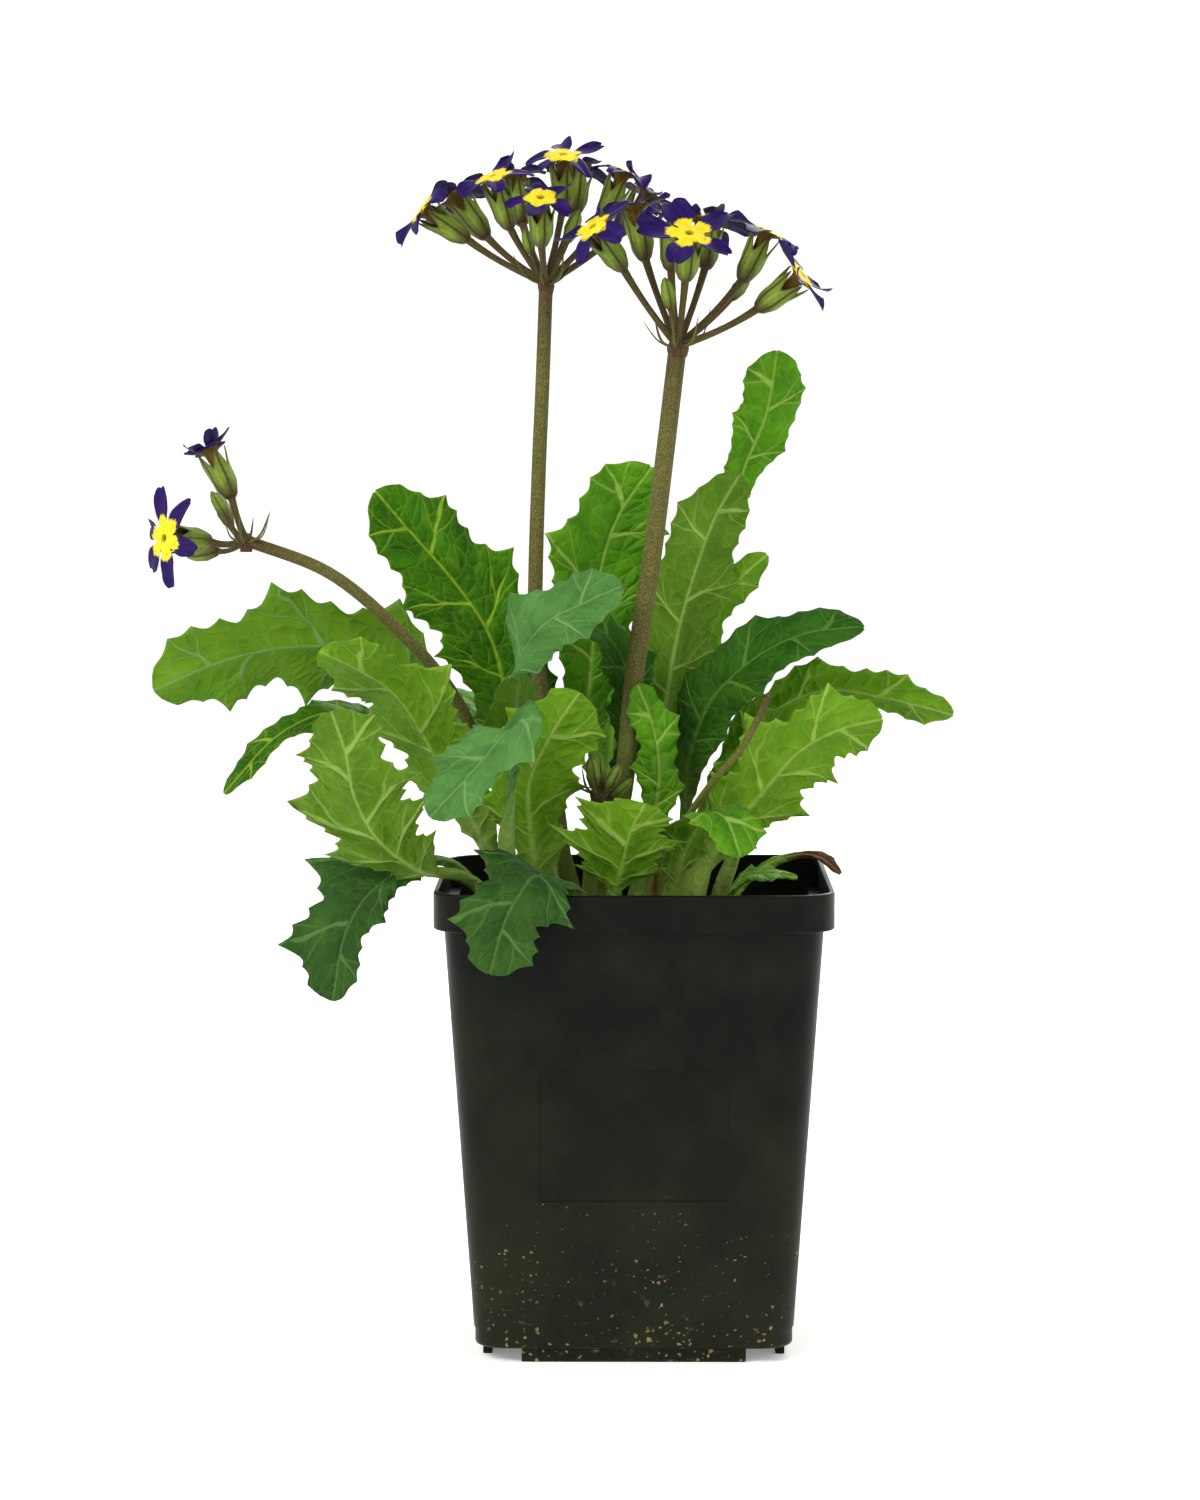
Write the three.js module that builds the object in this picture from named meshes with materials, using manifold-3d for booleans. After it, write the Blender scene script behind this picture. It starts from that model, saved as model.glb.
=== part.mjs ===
// A potted oakleaf blue primrose: a square nursery pot, its compost, the leaves, the flower stems and
// the flowers. Millimetres, +Z up, the origin at the middle of the pot's underside, the front at -Y.
import * as THREE from "three";
import { mergeVertices } from "three/addons/utils/BufferGeometryUtils.js";
import Module from "manifold-3d";

// Driving dimensions of the pot: half widths are from the pot's axis to a side
const POT_HEIGHT = 131;
const FOOT_HEIGHT = 4;
const FLOOR_TOP = 5.6;
const WALL = 1.4;
const HALF_AT_FLOOR = 44;
const HALF_UNDER_RIM = 52.1;
const HALF_AT_RIM = 55;
const RIM_HEIGHT = 10.4;
const CORNER_AT_FLOOR = 9;
const CORNER_AT_RIM = 13;
const FOOT_WIDTH = 62;
const FOOT_THICK = 2.6;
const BOSS_RADIUS = 10;
const DRAIN_RADIUS = 5;
const DRAIN_OFFSET = 31;
const PANEL = { width: 52, low: 45.7, high: 82.5, depth: 0.4 };

// Driving dimensions of the compost and of the holes that the plant stands in
const SOIL_TOP = 113;
const SOIL_CRUMB = 1.3;
const GAP = 0.3;
const FOOT_DEPTH = 9;
const PETIOLE_HOLE = 4.1;
const STEM_CLEARANCE = 1;

// Driving dimensions of a leaf
const BLADE_THICK = 0.8;
const PETIOLE_HALF = 2.6;
const KEEL_AT_FOOT = 2.2;
const KEEL_AT_TIP = 0.5;
const KEEL_HALF = 2.7;
const NARROW = [-1, 0, 1];
const VEIN_ANGLE = 58;
const LOBE_POINT = 2 / 3;
const LOBE_SHARP = 1.5;
const LOBE_LEAN = 0.35;
const TIP_HALF = 0.7;
const KEEL_AT_BLADE = 1.6;
const SWELL = 0.52;
const SIDE_LAG = 1 / 3;
const STATIONS_PER_LOBE = 3;
const RIPPLE_LAG = 1.1;
const LEAST_RIB = 0.55;

// Driving dimensions of a flower, measured along its axis from the foot of its calyx
const CALYX_LENGTH = 13;
const CALYX_RADIUS = 3.5;
const THROAT_RADIUS = 2;
const THROAT_FLOOR = 3.6;
const TUBE_RADIUS = 1.45;
const TUBE_FOOT = 4.4;
const LIMB_HEIGHT = 15.2;
const PETAL_THICK = 0.7;
const PEDICEL_RADIUS = 1.05;
const EYE_RADIUS = 2.8;
const EYE_EDGE = 0.5;
const PETAL_PLAY = { rise: 2.4, long: 0.12 };
const PETAL_REACH = 11.8;
const PETAL_OUTLINE = [[0, 0.28], [0.28, 1], [0.5, 0.9], [0.72, 1]];
const BRACTS = 4;
const BRACT_LENGTH = 6;
const STEM_STEP = 16;

const COLOUR = {
  pot: 0x17191a,
  soil: 0x2c2119,
  leafLight: 0x86b04a,
  leafDark: 0x3f7a35,
  leafShade: 0x35661a,
  leafGrey: 0x467a34,
  leafBlue: 0x6fa46a,
  scape: 0x6f6b45,
  petal: 0x31195c,
};

const V = (x, y, z) => new THREE.Vector3(x, y, z);
const radians = THREE.MathUtils.degToRad;
const lerp = THREE.MathUtils.lerp;

// One seeded stream of numbers from 0 to 1, for small irregularities
let seed = 20;
function draw() {
  seed = (seed * 16807) % 2147483647;
  return seed / 2147483647;
}

// A closed skin through rings of equally many points, its two ends filled in. The first `folded`
// points of a ring split their quads along one diagonal and the rest along the other.
function skin(rings, folded = Infinity) {
  const count = rings[0].length;
  const points = rings.flat();
  const index = [];
  for (let i = 0; i + 1 < rings.length; i++) {
    for (let j = 0; j < count; j++) {
      const a = i * count + j;
      const b = i * count + ((j + 1) % count);
      const c = b + count;
      const d = a + count;
      if (j < folded) index.push(a, b, c, a, c, d);
      else index.push(a, b, d, b, c, d);
    }
  }
  for (const [first, turn] of [
    [0, -1],
    [(rings.length - 1) * count, 1],
  ]) {
    const middle = V(0, 0, 0);
    for (let j = 0; j < count; j++) middle.addScaledVector(points[first + j], 1 / count);
    points.push(middle);
    for (let j = 0; j < count; j++) {
      const a = first + j;
      const b = first + ((j + 1) % count);
      if (turn > 0) index.push(a, b, points.length - 1);
      else index.push(b, a, points.length - 1);
    }
  }
  if (signedVolume(points, index) < 0) index.reverse();
  const geometry = new THREE.BufferGeometry().setFromPoints(points);
  geometry.setIndex(index);
  return geometry;
}

function signedVolume(points, index) {
  const normal = V(0, 0, 0);
  let sum = 0;
  for (let i = 0; i < index.length; i += 3) {
    normal.crossVectors(points[index[i + 1]], points[index[i + 2]]);
    sum += points[index[i]].dot(normal) / 6;
  }
  return sum;
}

// Solids that are joined or cut
const SLIVER = 0.05;
const wasm = await Module();
wasm.setup();

function solidOf(geometry) {
  const bare = geometry.clone();
  bare.deleteAttribute("normal");
  bare.deleteAttribute("uv");
  const merged = mergeVertices(bare, 1e-4);
  return new wasm.Manifold(
    new wasm.Mesh({
      numProp: 3,
      vertProperties: new Float32Array(merged.attributes.position.array),
      triVerts: new Uint32Array(merged.index.array),
    }),
  );
}

function geometryOf(solid) {
  const mesh = solid.getMesh();
  const geometry = new THREE.BufferGeometry();
  geometry.setAttribute("position", new THREE.BufferAttribute(mesh.vertProperties, 3));
  geometry.setIndex(new THREE.BufferAttribute(mesh.triVerts, 1));
  return geometry;
}

// Pieces made one body, without the slivers that the joining leaves
const joined = (geometries) =>
  geometries
    .map(solidOf)
    .reduce((a, b) => a.add(b))
    .simplify(SLIVER);

// A curve through hand-placed points, walked by the share of its length
function pathThrough(points) {
  return new THREE.CatmullRomCurve3(points.map((p) => V(...p)), false, "centripetal");
}

// A direction at right angles to `along`, as near as can be to `wanted`
function squareTo(along, wanted) {
  return wanted.clone().addScaledVector(along, -wanted.dot(along)).normalize();
}

// A round rod along a curve, its radius worked out from the share of the length
function rod(path, radiusAt, steps, sides) {
  const rings = [];
  let side = V(0.3, 1, 0.1);
  for (let i = 0; i <= steps; i++) {
    const share = i / steps;
    const centre = path.getPointAt(share);
    const along = path.getTangentAt(share);
    side = squareTo(along, side);
    const across = V(0, 0, 0).crossVectors(along, side);
    const ring = [];
    for (let j = 0; j < sides; j++) {
      const turn = (2 * Math.PI * j) / sides;
      const r = radiusAt(share);
      ring.push(
        centre
          .clone()
          .addScaledVector(side, r * Math.cos(turn))
          .addScaledVector(across, r * Math.sin(turn)),
      );
    }
    rings.push(ring);
  }
  return skin(rings);
}

// The pot: rings of a rounded square, up the outside, over the rim and down the inside
function roundedSquare(half, corner, z, perCorner = 4) {
  const ring = [];
  for (let quarter = 0; quarter < 4; quarter++) {
    for (let k = 0; k < perCorner; k++) {
      const turn = (Math.PI / 2) * (quarter + k / (perCorner - 1));
      const x = Math.sign(Math.cos(Math.PI / 4 + (Math.PI / 2) * quarter)) * (half - corner);
      const y = Math.sign(Math.sin(Math.PI / 4 + (Math.PI / 2) * quarter)) * (half - corner);
      ring.push(V(x + corner * Math.cos(turn), y + corner * Math.sin(turn), z));
    }
  }
  return ring;
}

const rimFoot = POT_HEIGHT - RIM_HEIGHT;
const draft = Math.atan2(HALF_UNDER_RIM - HALF_AT_FLOOR, rimFoot - FOOT_HEIGHT);
const wallHalfAt = (z) => HALF_AT_FLOOR + (z - FOOT_HEIGHT) * Math.tan(draft);
const wallCornerAt = (z) =>
  lerp(CORNER_AT_FLOOR, CORNER_AT_RIM - 2, (z - FOOT_HEIGHT) / (rimFoot - FOOT_HEIGHT));

function potShell() {
  const rimInner = HALF_AT_RIM - WALL;
  const ledge = rimFoot + WALL;
  return skin([
    roundedSquare(HALF_AT_FLOOR - 2, CORNER_AT_FLOOR - 2, FOOT_HEIGHT),
    roundedSquare(HALF_AT_FLOOR, CORNER_AT_FLOOR, FOOT_HEIGHT + 1.2),
    roundedSquare(HALF_UNDER_RIM, CORNER_AT_RIM - 2, rimFoot),
    roundedSquare(HALF_AT_RIM - 0.6, CORNER_AT_RIM - 0.6, rimFoot),
    roundedSquare(HALF_AT_RIM, CORNER_AT_RIM, rimFoot + 0.7),
    roundedSquare(HALF_AT_RIM, CORNER_AT_RIM, POT_HEIGHT - 0.6),
    roundedSquare(HALF_AT_RIM - 0.6, CORNER_AT_RIM - 0.6, POT_HEIGHT),
    roundedSquare(rimInner, CORNER_AT_RIM - WALL, POT_HEIGHT),
    roundedSquare(rimInner, CORNER_AT_RIM - WALL, ledge),
    roundedSquare(wallHalfAt(rimFoot) - WALL, wallCornerAt(rimFoot) - WALL, ledge),
    roundedSquare(wallHalfAt(FLOOR_TOP) - WALL, wallCornerAt(FLOOR_TOP) - WALL, FLOOR_TOP),
  ]);
}

function makePot() {
  let pot = solidOf(potShell());
  for (let quarter = 0; quarter < 4; quarter++) {
    const foot = new THREE.BoxGeometry(FOOT_WIDTH, FOOT_THICK, FOOT_HEIGHT + 0.6);
    foot.translate(0, -(HALF_AT_FLOOR - 2 - FOOT_THICK / 2), (FOOT_HEIGHT + 0.6) / 2);
    foot.rotateZ((Math.PI / 2) * quarter);
    pot = pot.add(solidOf(foot));
    const drain = new THREE.CylinderGeometry(DRAIN_RADIUS, DRAIN_RADIUS, 3 * FOOT_HEIGHT, 12);
    drain.rotateX(Math.PI / 2);
    drain.translate(DRAIN_OFFSET, DRAIN_OFFSET, FOOT_HEIGHT);
    drain.rotateZ((Math.PI / 2) * quarter);
    pot = pot.subtract(solidOf(drain));
  }
  const boss = new THREE.CylinderGeometry(BOSS_RADIUS, BOSS_RADIUS, FOOT_HEIGHT + 0.6, 16);
  boss.rotateX(Math.PI / 2);
  boss.translate(0, 0, (FOOT_HEIGHT + 0.6) / 2);
  pot = pot.add(solidOf(boss));
  const height = (PANEL.high - PANEL.low) / Math.cos(draft);
  const recess = new THREE.BoxGeometry(PANEL.width, 2 * PANEL.depth, height);
  recess.rotateX(draft);
  const middle = (PANEL.low + PANEL.high) / 2;
  recess.translate(0, -wallHalfAt(middle), middle);
  return geometryOf(pot.subtract(solidOf(recess)).simplify(SLIVER));
}

// The compost: a plug that follows the walls, its top crumbled, with a plain hole for each foot
const soilHoles = [];

function standsAt([x, y], radius) {
  soilHoles.push({ x, y, radius });
}

// A path that starts upright in the compost at `foot` and goes on through `points`
function standingPath([x, y], points) {
  const path = pathThrough([
    [x, y, SOIL_TOP - FOOT_DEPTH + GAP],
    [x, y, SOIL_TOP + 3],
    ...points,
  ]);
  path.arcLengthDivisions = 400;
  return path;
}

function makeSoil() {
  const low = FLOOR_TOP + GAP;
  const ringAt = (z, share = 1) =>
    roundedSquare((wallHalfAt(z) - WALL - GAP) * share, (wallCornerAt(z) - WALL) * share, z, 3);
  const crumbled = (share) => {
    const ring = ringAt(SOIL_TOP, share);
    ring.forEach((p) => (p.z += SOIL_CRUMB * (2 * draw() - 1)));
    return ring;
  };
  const shares = [0.97, 0.75, 0.5, 0.25];
  const plug = skin([ringAt(low), ringAt(SOIL_TOP - 3), ...shares.map(crumbled)]);
  let soil = solidOf(plug);
  for (const { x, y, radius } of soilHoles) {
    const hole = new THREE.CylinderGeometry(radius, radius, 2 * FOOT_DEPTH, 6);
    hole.rotateX(Math.PI / 2);
    hole.translate(x, y, SOIL_TOP);
    soil = soil.subtract(solidOf(hole));
  }
  return geometryOf(soil.simplify(SLIVER));
}

// A leaf. `foot` is where it leaves the compost, `rib` holds points chosen by hand up to the tip, and
// `faces` the ways the upper face looks, from the foot to the tip. `half` is the blade's half width,
// `lobes` how many lobes a side has, `depth` how deep they are cut as a share of the half width,
// `bare` the share of the rib with no blade, `widest` where the blade is broadest (more is nearer the
// tip), `sides` each side's share of the half width, `columns` where a section's points lie between
// its two edges, `cup` how strongly the sides rise in 1/mm, and `wave` and `wavelength` the waved edge.
function envelope(leaf, t) {
  const swell = Math.sin(Math.PI * t ** leaf.widest) ** SWELL;
  return Math.max(PETIOLE_HALF * (1 - t), TIP_HALF, leaf.half * swell);
}

// How much of the full width the edge reaches: it climbs to a lobe's point, then drops back faster
function lobeShare(leaf, t, side) {
  const phase = (leaf.lobes * t + (side > 0 ? SIDE_LAG : 0)) % 1;
  const climb = phase < LOBE_POINT ? phase / LOBE_POINT : (1 - phase) / (1 - LOBE_POINT);
  return 1 - leaf.depth * (1 - climb ** LOBE_SHARP) * Math.min(1, 6 * (1 - t));
}

function leafFrame(leaf, path, share) {
  const centre = path.getPointAt(Math.min(share, 1));
  const along = path.getTangentAt(Math.min(share, 1));
  if (share > 1) centre.addScaledVector(along, (share - 1) * path.getLength());
  const place = Math.min(share, 1) * (leaf.faces.length - 1);
  const from = Math.min(Math.floor(place), leaf.faces.length - 2);
  const wanted = V(...leaf.faces[from]).lerp(V(...leaf.faces[from + 1]), place - from);
  const up = squareTo(along, wanted);
  const across = V(0, 0, 0).crossVectors(along, up);
  return { centre, up, across };
}

function leafSection(leaf, path, ribShare, edges, keel) {
  const length = path.getLength();
  const upper = [];
  const lower = [];
  for (const column of leaf.columns) {
    const edge = edges[column < 0 ? 0 : 1];
    const reach = Math.abs(column);
    const b = Math.sign(column) * edge.half * reach;
    const share = ribShare + (edge.share - ribShare) * reach;
    const { centre, up, across } = leafFrame(leaf, path, share);
    const bend = leaf.cup * b;
    const rise = leaf.cup === 0 ? 0 : (1 - Math.cos(bend)) / leaf.cup;
    const out = leaf.cup === 0 ? b : Math.sin(bend) / leaf.cup;
    const turn = (2 * Math.PI * share * length) / leaf.wavelength + Math.sign(column) * RIPPLE_LAG;
    const ripple = leaf.wave * (b / leaf.half) ** 2 * Math.sin(turn);
    const here = centre.addScaledVector(across, out).addScaledVector(up, rise + ripple);
    const normal = up.clone().multiplyScalar(Math.cos(bend));
    normal.addScaledVector(across, -Math.sin(bend));
    const ridge = keel * Math.max(0, 1 - Math.abs(b) / KEEL_HALF);
    upper.push(here.clone().addScaledVector(normal, BLADE_THICK / 2));
    lower.push(here.clone().addScaledVector(normal, -BLADE_THICK / 2 - ridge));
  }
  return [...upper, ...lower.reverse()];
}

const LEAF_HABIT = {
  half: 14,
  lobes: 4,
  bare: 0.3,
  widest: 1.5,
  depth: 0.4,
  cup: 0.012,
  wave: 1.2,
  wavelength: 22,
  sides: [1, 1],
  columns: [-1, -0.5, 0, 0.5, 1],
};

function makeLeaf(given) {
  const leaf = { ...LEAF_HABIT, ...given };
  const path = standingPath(leaf.foot, leaf.rib);
  standsAt(leaf.foot, PETIOLE_HOLE);
  const length = path.getLength();
  const bladeLength = length * (1 - leaf.bare);
  const rings = [];
  for (const share of [0, 0.35 * leaf.bare, 0.7 * leaf.bare]) {
    const edge = { half: PETIOLE_HALF, share };
    rings.push(leafSection(leaf, path, share, [edge, edge], lerp(KEEL_AT_FOOT, KEEL_AT_BLADE, share)));
  }
  const stations = STATIONS_PER_LOBE * leaf.lobes;
  for (let k = 0; k <= stations; k++) {
    const t = k / stations;
    const slant = envelope(leaf, t) / Math.tan(radians(VEIN_ANGLE)) / bladeLength;
    const edges = [-1, 1].map((side) => {
      const full = envelope(leaf, t) * leaf.sides[side < 0 ? 0 : 1];
      const part = lobeShare(leaf, t, side);
      const lean = (LOBE_LEAN * full * (part - 1 + leaf.depth)) / bladeLength;
      return { half: full * part, share: leaf.bare + (1 - leaf.bare) * (t + lean * (1 - t)) };
    });
    const ribShare = leaf.bare + (1 - leaf.bare) * Math.max(t - slant, LEAST_RIB * t);
    rings.push(leafSection(leaf, path, ribShare, edges, lerp(KEEL_AT_BLADE, KEEL_AT_TIP, t)));
  }
  return skin(rings, leaf.columns.length);
}

// The leaves, from the left of the clump round to the right, then those at its back
const LEAVES = {
  leaf_left_arch: {
    foot: [-36, 8],
    rib: [
      [-45, 10, 150], [-58, 7, 179], [-75, 3, 194], [-95, -1, 196], [-113, -5, 193], [-135, -9, 184],
    ],
    faces: [[0.3, 0.9, 0.3], [0.1, 1, 0.3], [0, 0.9, 0.4], [0.1, 0.8, 0.5]],
    half: 21, colour: "leafBlue", bare: 0.32, wave: 2,
  },
  leaf_left_droop: {
    foot: [-32, 19],
    rib: [
      [-46, 18, 143], [-61, 14, 165], [-72, 7, 174], [-86, -1, 177], [-100, -7, 171], [-115, -12, 155],
    ],
    faces: [[0.3, -0.2, 1], [0, -0.35, 0.9], [-0.4, -0.5, 0.8]],
    half: 11, colour: "leafDark", bare: 0.34, widest: 1,
  },
  leaf_left_front: {
    foot: [-29, -7],
    rib: [
      [-39, -13, 139], [-50, -18, 158], [-58, -24, 173], [-66, -30, 185], [-76, -35, 192], [-86, -39, 197],
    ],
    faces: [[0.6, 0.7, 0.3], [0.4, 0.8, 0.5], [0.2, 0.7, 0.7]],
    half: 21, bare: 0.32, widest: 1.2,
  },
  leaf_low_left: {
    foot: [-34, -15],
    rib: [
      [-46, -27, 133], [-59, -35, 137], [-70, -42, 146], [-76, -46, 158], [-78, -48, 169], [-82, -49, 181],
    ],
    faces: [[0.2, 0.2, 1], [0.4, 0.7, 0.6], [0.3, 0.9, 0.2], [0.3, 0.9, 0.2]],
    half: 22, bare: 0.44, widest: 1.1, wave: 1.8,
  },
  leaf_hanging_left: {
    foot: [-38, -5],
    rib: [
      [-49, -13, 135], [-60, -22, 137], [-68, -28, 133], [-75, -33, 127], [-80, -37, 117], [-83, -39, 100],
    ],
    faces: [[0, -0.2, 1], [-0.1, -0.4, 0.9], [-0.5, -0.8, 0.3], [-0.4, -0.9, 0.1]],
    half: 18, sides: [0.65, 1.25], colour: "leafGrey", bare: 0.42, lobes: 3, widest: 1.1,
  },
  leaf_over_rim: {
    foot: [-20, -27],
    rib: [[-21, -38, 130], [-24, -50, 136], [-28, -60, 136], [-34, -66, 127], [-39, -67, 111]],
    faces: [[0, 0, 1], [0, -0.2, 1], [0, -1, 0.5], [0, -1, 0]],
    half: 18, colour: "leafGrey", bare: 0.38, lobes: 3, widest: 1.1,
  },
  leaf_front_fold: {
    foot: [-30, -25],
    rib: [
      [-35, -33, 140], [-34, -40, 160], [-32, -46, 174], [-34, -53, 176], [-41, -58, 168], [-55, -62, 153],
    ],
    faces: [[0.3, 0.9, 0.2], [0.2, 0.8, 0.4], [-0.4, -0.4, 1], [-0.6, -0.8, 0.3], [-0.5, -0.9, 0.4]],
    half: 16, colour: "leafBlue", bare: 0.46, lobes: 3, widest: 1.2,
  },
  leaf_front_centre: {
    foot: [-24, -17],
    rib: [[-27, -20, 134], [-29, -24, 148], [-29, -28, 160], [-23, -31, 173], [-15, -33, 185]],
    faces: [[0, 1, 0.1], [-0.2, 1, 0.1]],
    half: 18, sides: [1.15, 0.9], bare: 0.26, lobes: 3,
  },
  leaf_left_centre: {
    foot: [-20, -7],
    rib: [
      [-28, -9, 141], [-33, -13, 165], [-34, -17, 181], [-32, -20, 193], [-25, -23, 203], [-14, -25, 209],
      [-3, -27, 214],
    ],
    faces: [[0, 1, 0.1], [0, 1, 0.1], [-0.2, 1, 0.2], [-0.6, 0.4, 0.8], [0, -0.8, 0.6], [0, -0.8, 0.6]],
    half: 15, colour: "leafBlue", bare: 0.36, depth: 0.3, wave: 0.8,
  },
  leaf_back_left: {
    foot: [-26, 13],
    rib: [
      [-30, 16, 150], [-37, 22, 181], [-42, 24, 198], [-52, 25, 213], [-64, 22, 227], [-74, 18, 239],
    ],
    faces: [[0, -1, 0.1], [0.3, -1, 0.2], [0.3, -1, 0.3]],
    half: 20, colour: "leafDark", bare: 0.38, widest: 1.2, depth: 0.3,
  },
  leaf_small_inner: {
    foot: [-16, 13],
    rib: [[-24, 13, 150], [-27, 12, 176], [-29, 12, 198]],
    faces: [[0, -1, 0.1], [0, -1, 0.1]],
    half: 7, colour: "leafShade", bare: 0.4, lobes: 3, columns: NARROW,
  },
  leaf_back_centre: {
    foot: [-6, 13],
    rib: [[-9, 18, 149], [-13, 22, 178], [-12, 24, 195], [-10, 26, 215], [-5, 26, 231], [5, 24, 246]],
    faces: [[0, -1, 0.1], [0.2, -1, 0.1], [0.2, -1, 0.1]],
    half: 19, bare: 0.42, depth: 0.3,
  },
  leaf_inner_arch: {
    foot: [-8, 3],
    rib: [[-5, 2, 151], [-1, 0, 174], [-3, -2, 192], [-12, -4, 202], [-24, -6, 204]],
    faces: [[0, -1, 0.1], [0.5, -1, 0.2], [0.2, -0.5, 0.9]],
    half: 11, colour: "leafShade", bare: 0.4, columns: NARROW,
  },
  leaf_front_low: {
    foot: [-6, -27],
    rib: [[-5, -32, 130], [-3, -38, 139], [-1, -44, 148], [3, -51, 156]],
    faces: [[0, 0.8, 0.3], [0, 0.8, 0.6]],
    half: 19, sides: [0.9, 1.2], bare: 0.46, lobes: 3, widest: 1,
  },
  leaf_inner_right: {
    foot: [-1, -7],
    rib: [[4, -10, 141], [7, -12, 161], [5, -13, 175], [1, -14, 186]],
    faces: [[0.2, -1, 0], [0.2, -1, 0]],
    half: 9, bare: 0.35, lobes: 3, columns: NARROW,
  },
  leaf_upper_right: {
    foot: [2, 3],
    rib: [[5, 7, 151], [9, 10, 182], [13, 12, 202], [18, 13, 219], [23, 14, 232], [30, 15, 244]],
    faces: [[0.2, 1, 0], [-0.2, 1, 0], [-0.2, 1, 0.1]],
    half: 14, bare: 0.38, depth: 0.25,
  },
  leaf_tallest: {
    foot: [3, 23],
    rib: [[10, 26, 160], [18, 29, 195], [25, 31, 225], [32, 32, 246], [38, 30, 261], [41, 25, 279]],
    faces: [[0.2, -1, 0.1], [0.2, -1, 0.2], [0.4, -1, 0.2]],
    half: 11, bare: 0.64, widest: 2.6, depth: 0.2,
  },
  leaf_small_right: {
    foot: [4, 13],
    rib: [[10, 16, 161], [16, 18, 187], [23, 20, 206], [30, 20, 214], [38, 20, 221]],
    faces: [[0.2, 1, 0], [-0.2, 1, 0.2]],
    half: 9, bare: 0.4, lobes: 3, columns: NARROW,
  },
  leaf_right_dark: {
    foot: [13, 11],
    rib: [[14, 7, 144], [16, 0, 165], [22, -5, 181], [34, -9, 193], [48, -13, 200], [64, -16, 202]],
    faces: [[-0.6, 0.7, 0.2], [-0.4, -0.5, 0.7], [0, -0.8, 0.7], [0, -0.7, 0.8]],
    half: 13, colour: "leafShade", bare: 0.34, depth: 0.22, wave: 0.7, widest: 1.2,
  },
  leaf_far_right: {
    foot: [14, 22],
    rib: [[20, 19, 147], [30, 12, 167], [43, 7, 180], [56, 3, 184], [70, 0, 182], [90, -3, 177]],
    faces: [[-0.3, 0.6, 0.7], [-0.1, 0.8, 0.6], [0, 0.7, 0.7]],
    half: 13, bare: 0.34,
  },
  leaf_behind_stem: {
    foot: [12, 2],
    rib: [[19, 2, 137], [29, -1, 157], [38, -4, 169], [52, -7, 180]],
    faces: [[-0.3, 0.9, 0.3], [-0.1, 0.9, 0.4]],
    half: 11, bare: 0.36, lobes: 3, columns: NARROW,
  },
  leaf_low_right: {
    foot: [16, -9],
    rib: [
      [20, -11, 134], [29, -15, 148], [37, -17, 158], [46, -19, 168], [57, -20, 174], [69, -20, 177],
    ],
    faces: [[-0.3, 0.7, 0.6], [-0.2, 0.9, 0.4], [0, 0.9, 0.5]],
    half: 19, bare: 0.3, widest: 1.2,
  },
  leaf_front_right: {
    foot: [7, -17],
    rib: [[11, -22, 132], [15, -30, 145], [20, -37, 152], [25, -44, 151], [29, -49, 141]],
    faces: [[0, 0.4, 0.9], [0.1, -0.1, 1], [0.5, -0.9, 0.3]],
    half: 15, bare: 0.34, lobes: 3,
  },
  leaf_in_rim: {
    foot: [22, -4],
    rib: [[25, -7, 124], [31, -10, 131], [38, -12, 132.5], [46, -12, 131.5]],
    faces: [[0, -0.3, 1], [0, -0.3, 1]],
    half: 6, bare: 0.3, lobes: 3, columns: NARROW,
  },
  leaf_thin_right: {
    foot: [25, 7],
    rib: [[31, 7, 128], [42, 6, 135], [52, 5, 136], [59, 4, 131]],
    faces: [[0, -0.2, 1], [0, -0.3, 1]],
    half: 4, bare: 0.3, lobes: 3, columns: NARROW,
  },
  leaf_rear_left: {
    foot: [-20, 23],
    rib: [[-25, 33, 133], [-35, 50, 156], [-47, 68, 174], [-60, 86, 178]],
    faces: [[0.3, -0.6, 0.8], [0.2, -0.5, 1], [0, 0, 1]],
    half: 15, bare: 0.3, lobes: 3,
  },
  leaf_rear: {
    foot: [-8, 24],
    rib: [[-8, 36, 140], [-6, 58, 170], [-3, 80, 186], [1, 104, 184]],
    faces: [[0, -0.8, 0.6], [0, -0.4, 1], [0, 0.1, 1]],
    half: 15, bare: 0.3, lobes: 3,
  },
  leaf_rear_right: {
    foot: [23, 17],
    rib: [[29, 32, 134], [41, 52, 156], [54, 70, 168], [67, 88, 164]],
    faces: [[-0.3, -0.6, 0.8], [-0.2, -0.5, 1], [0, 0, 1]],
    half: 14, bare: 0.3, lobes: 3,
  },
};

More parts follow.
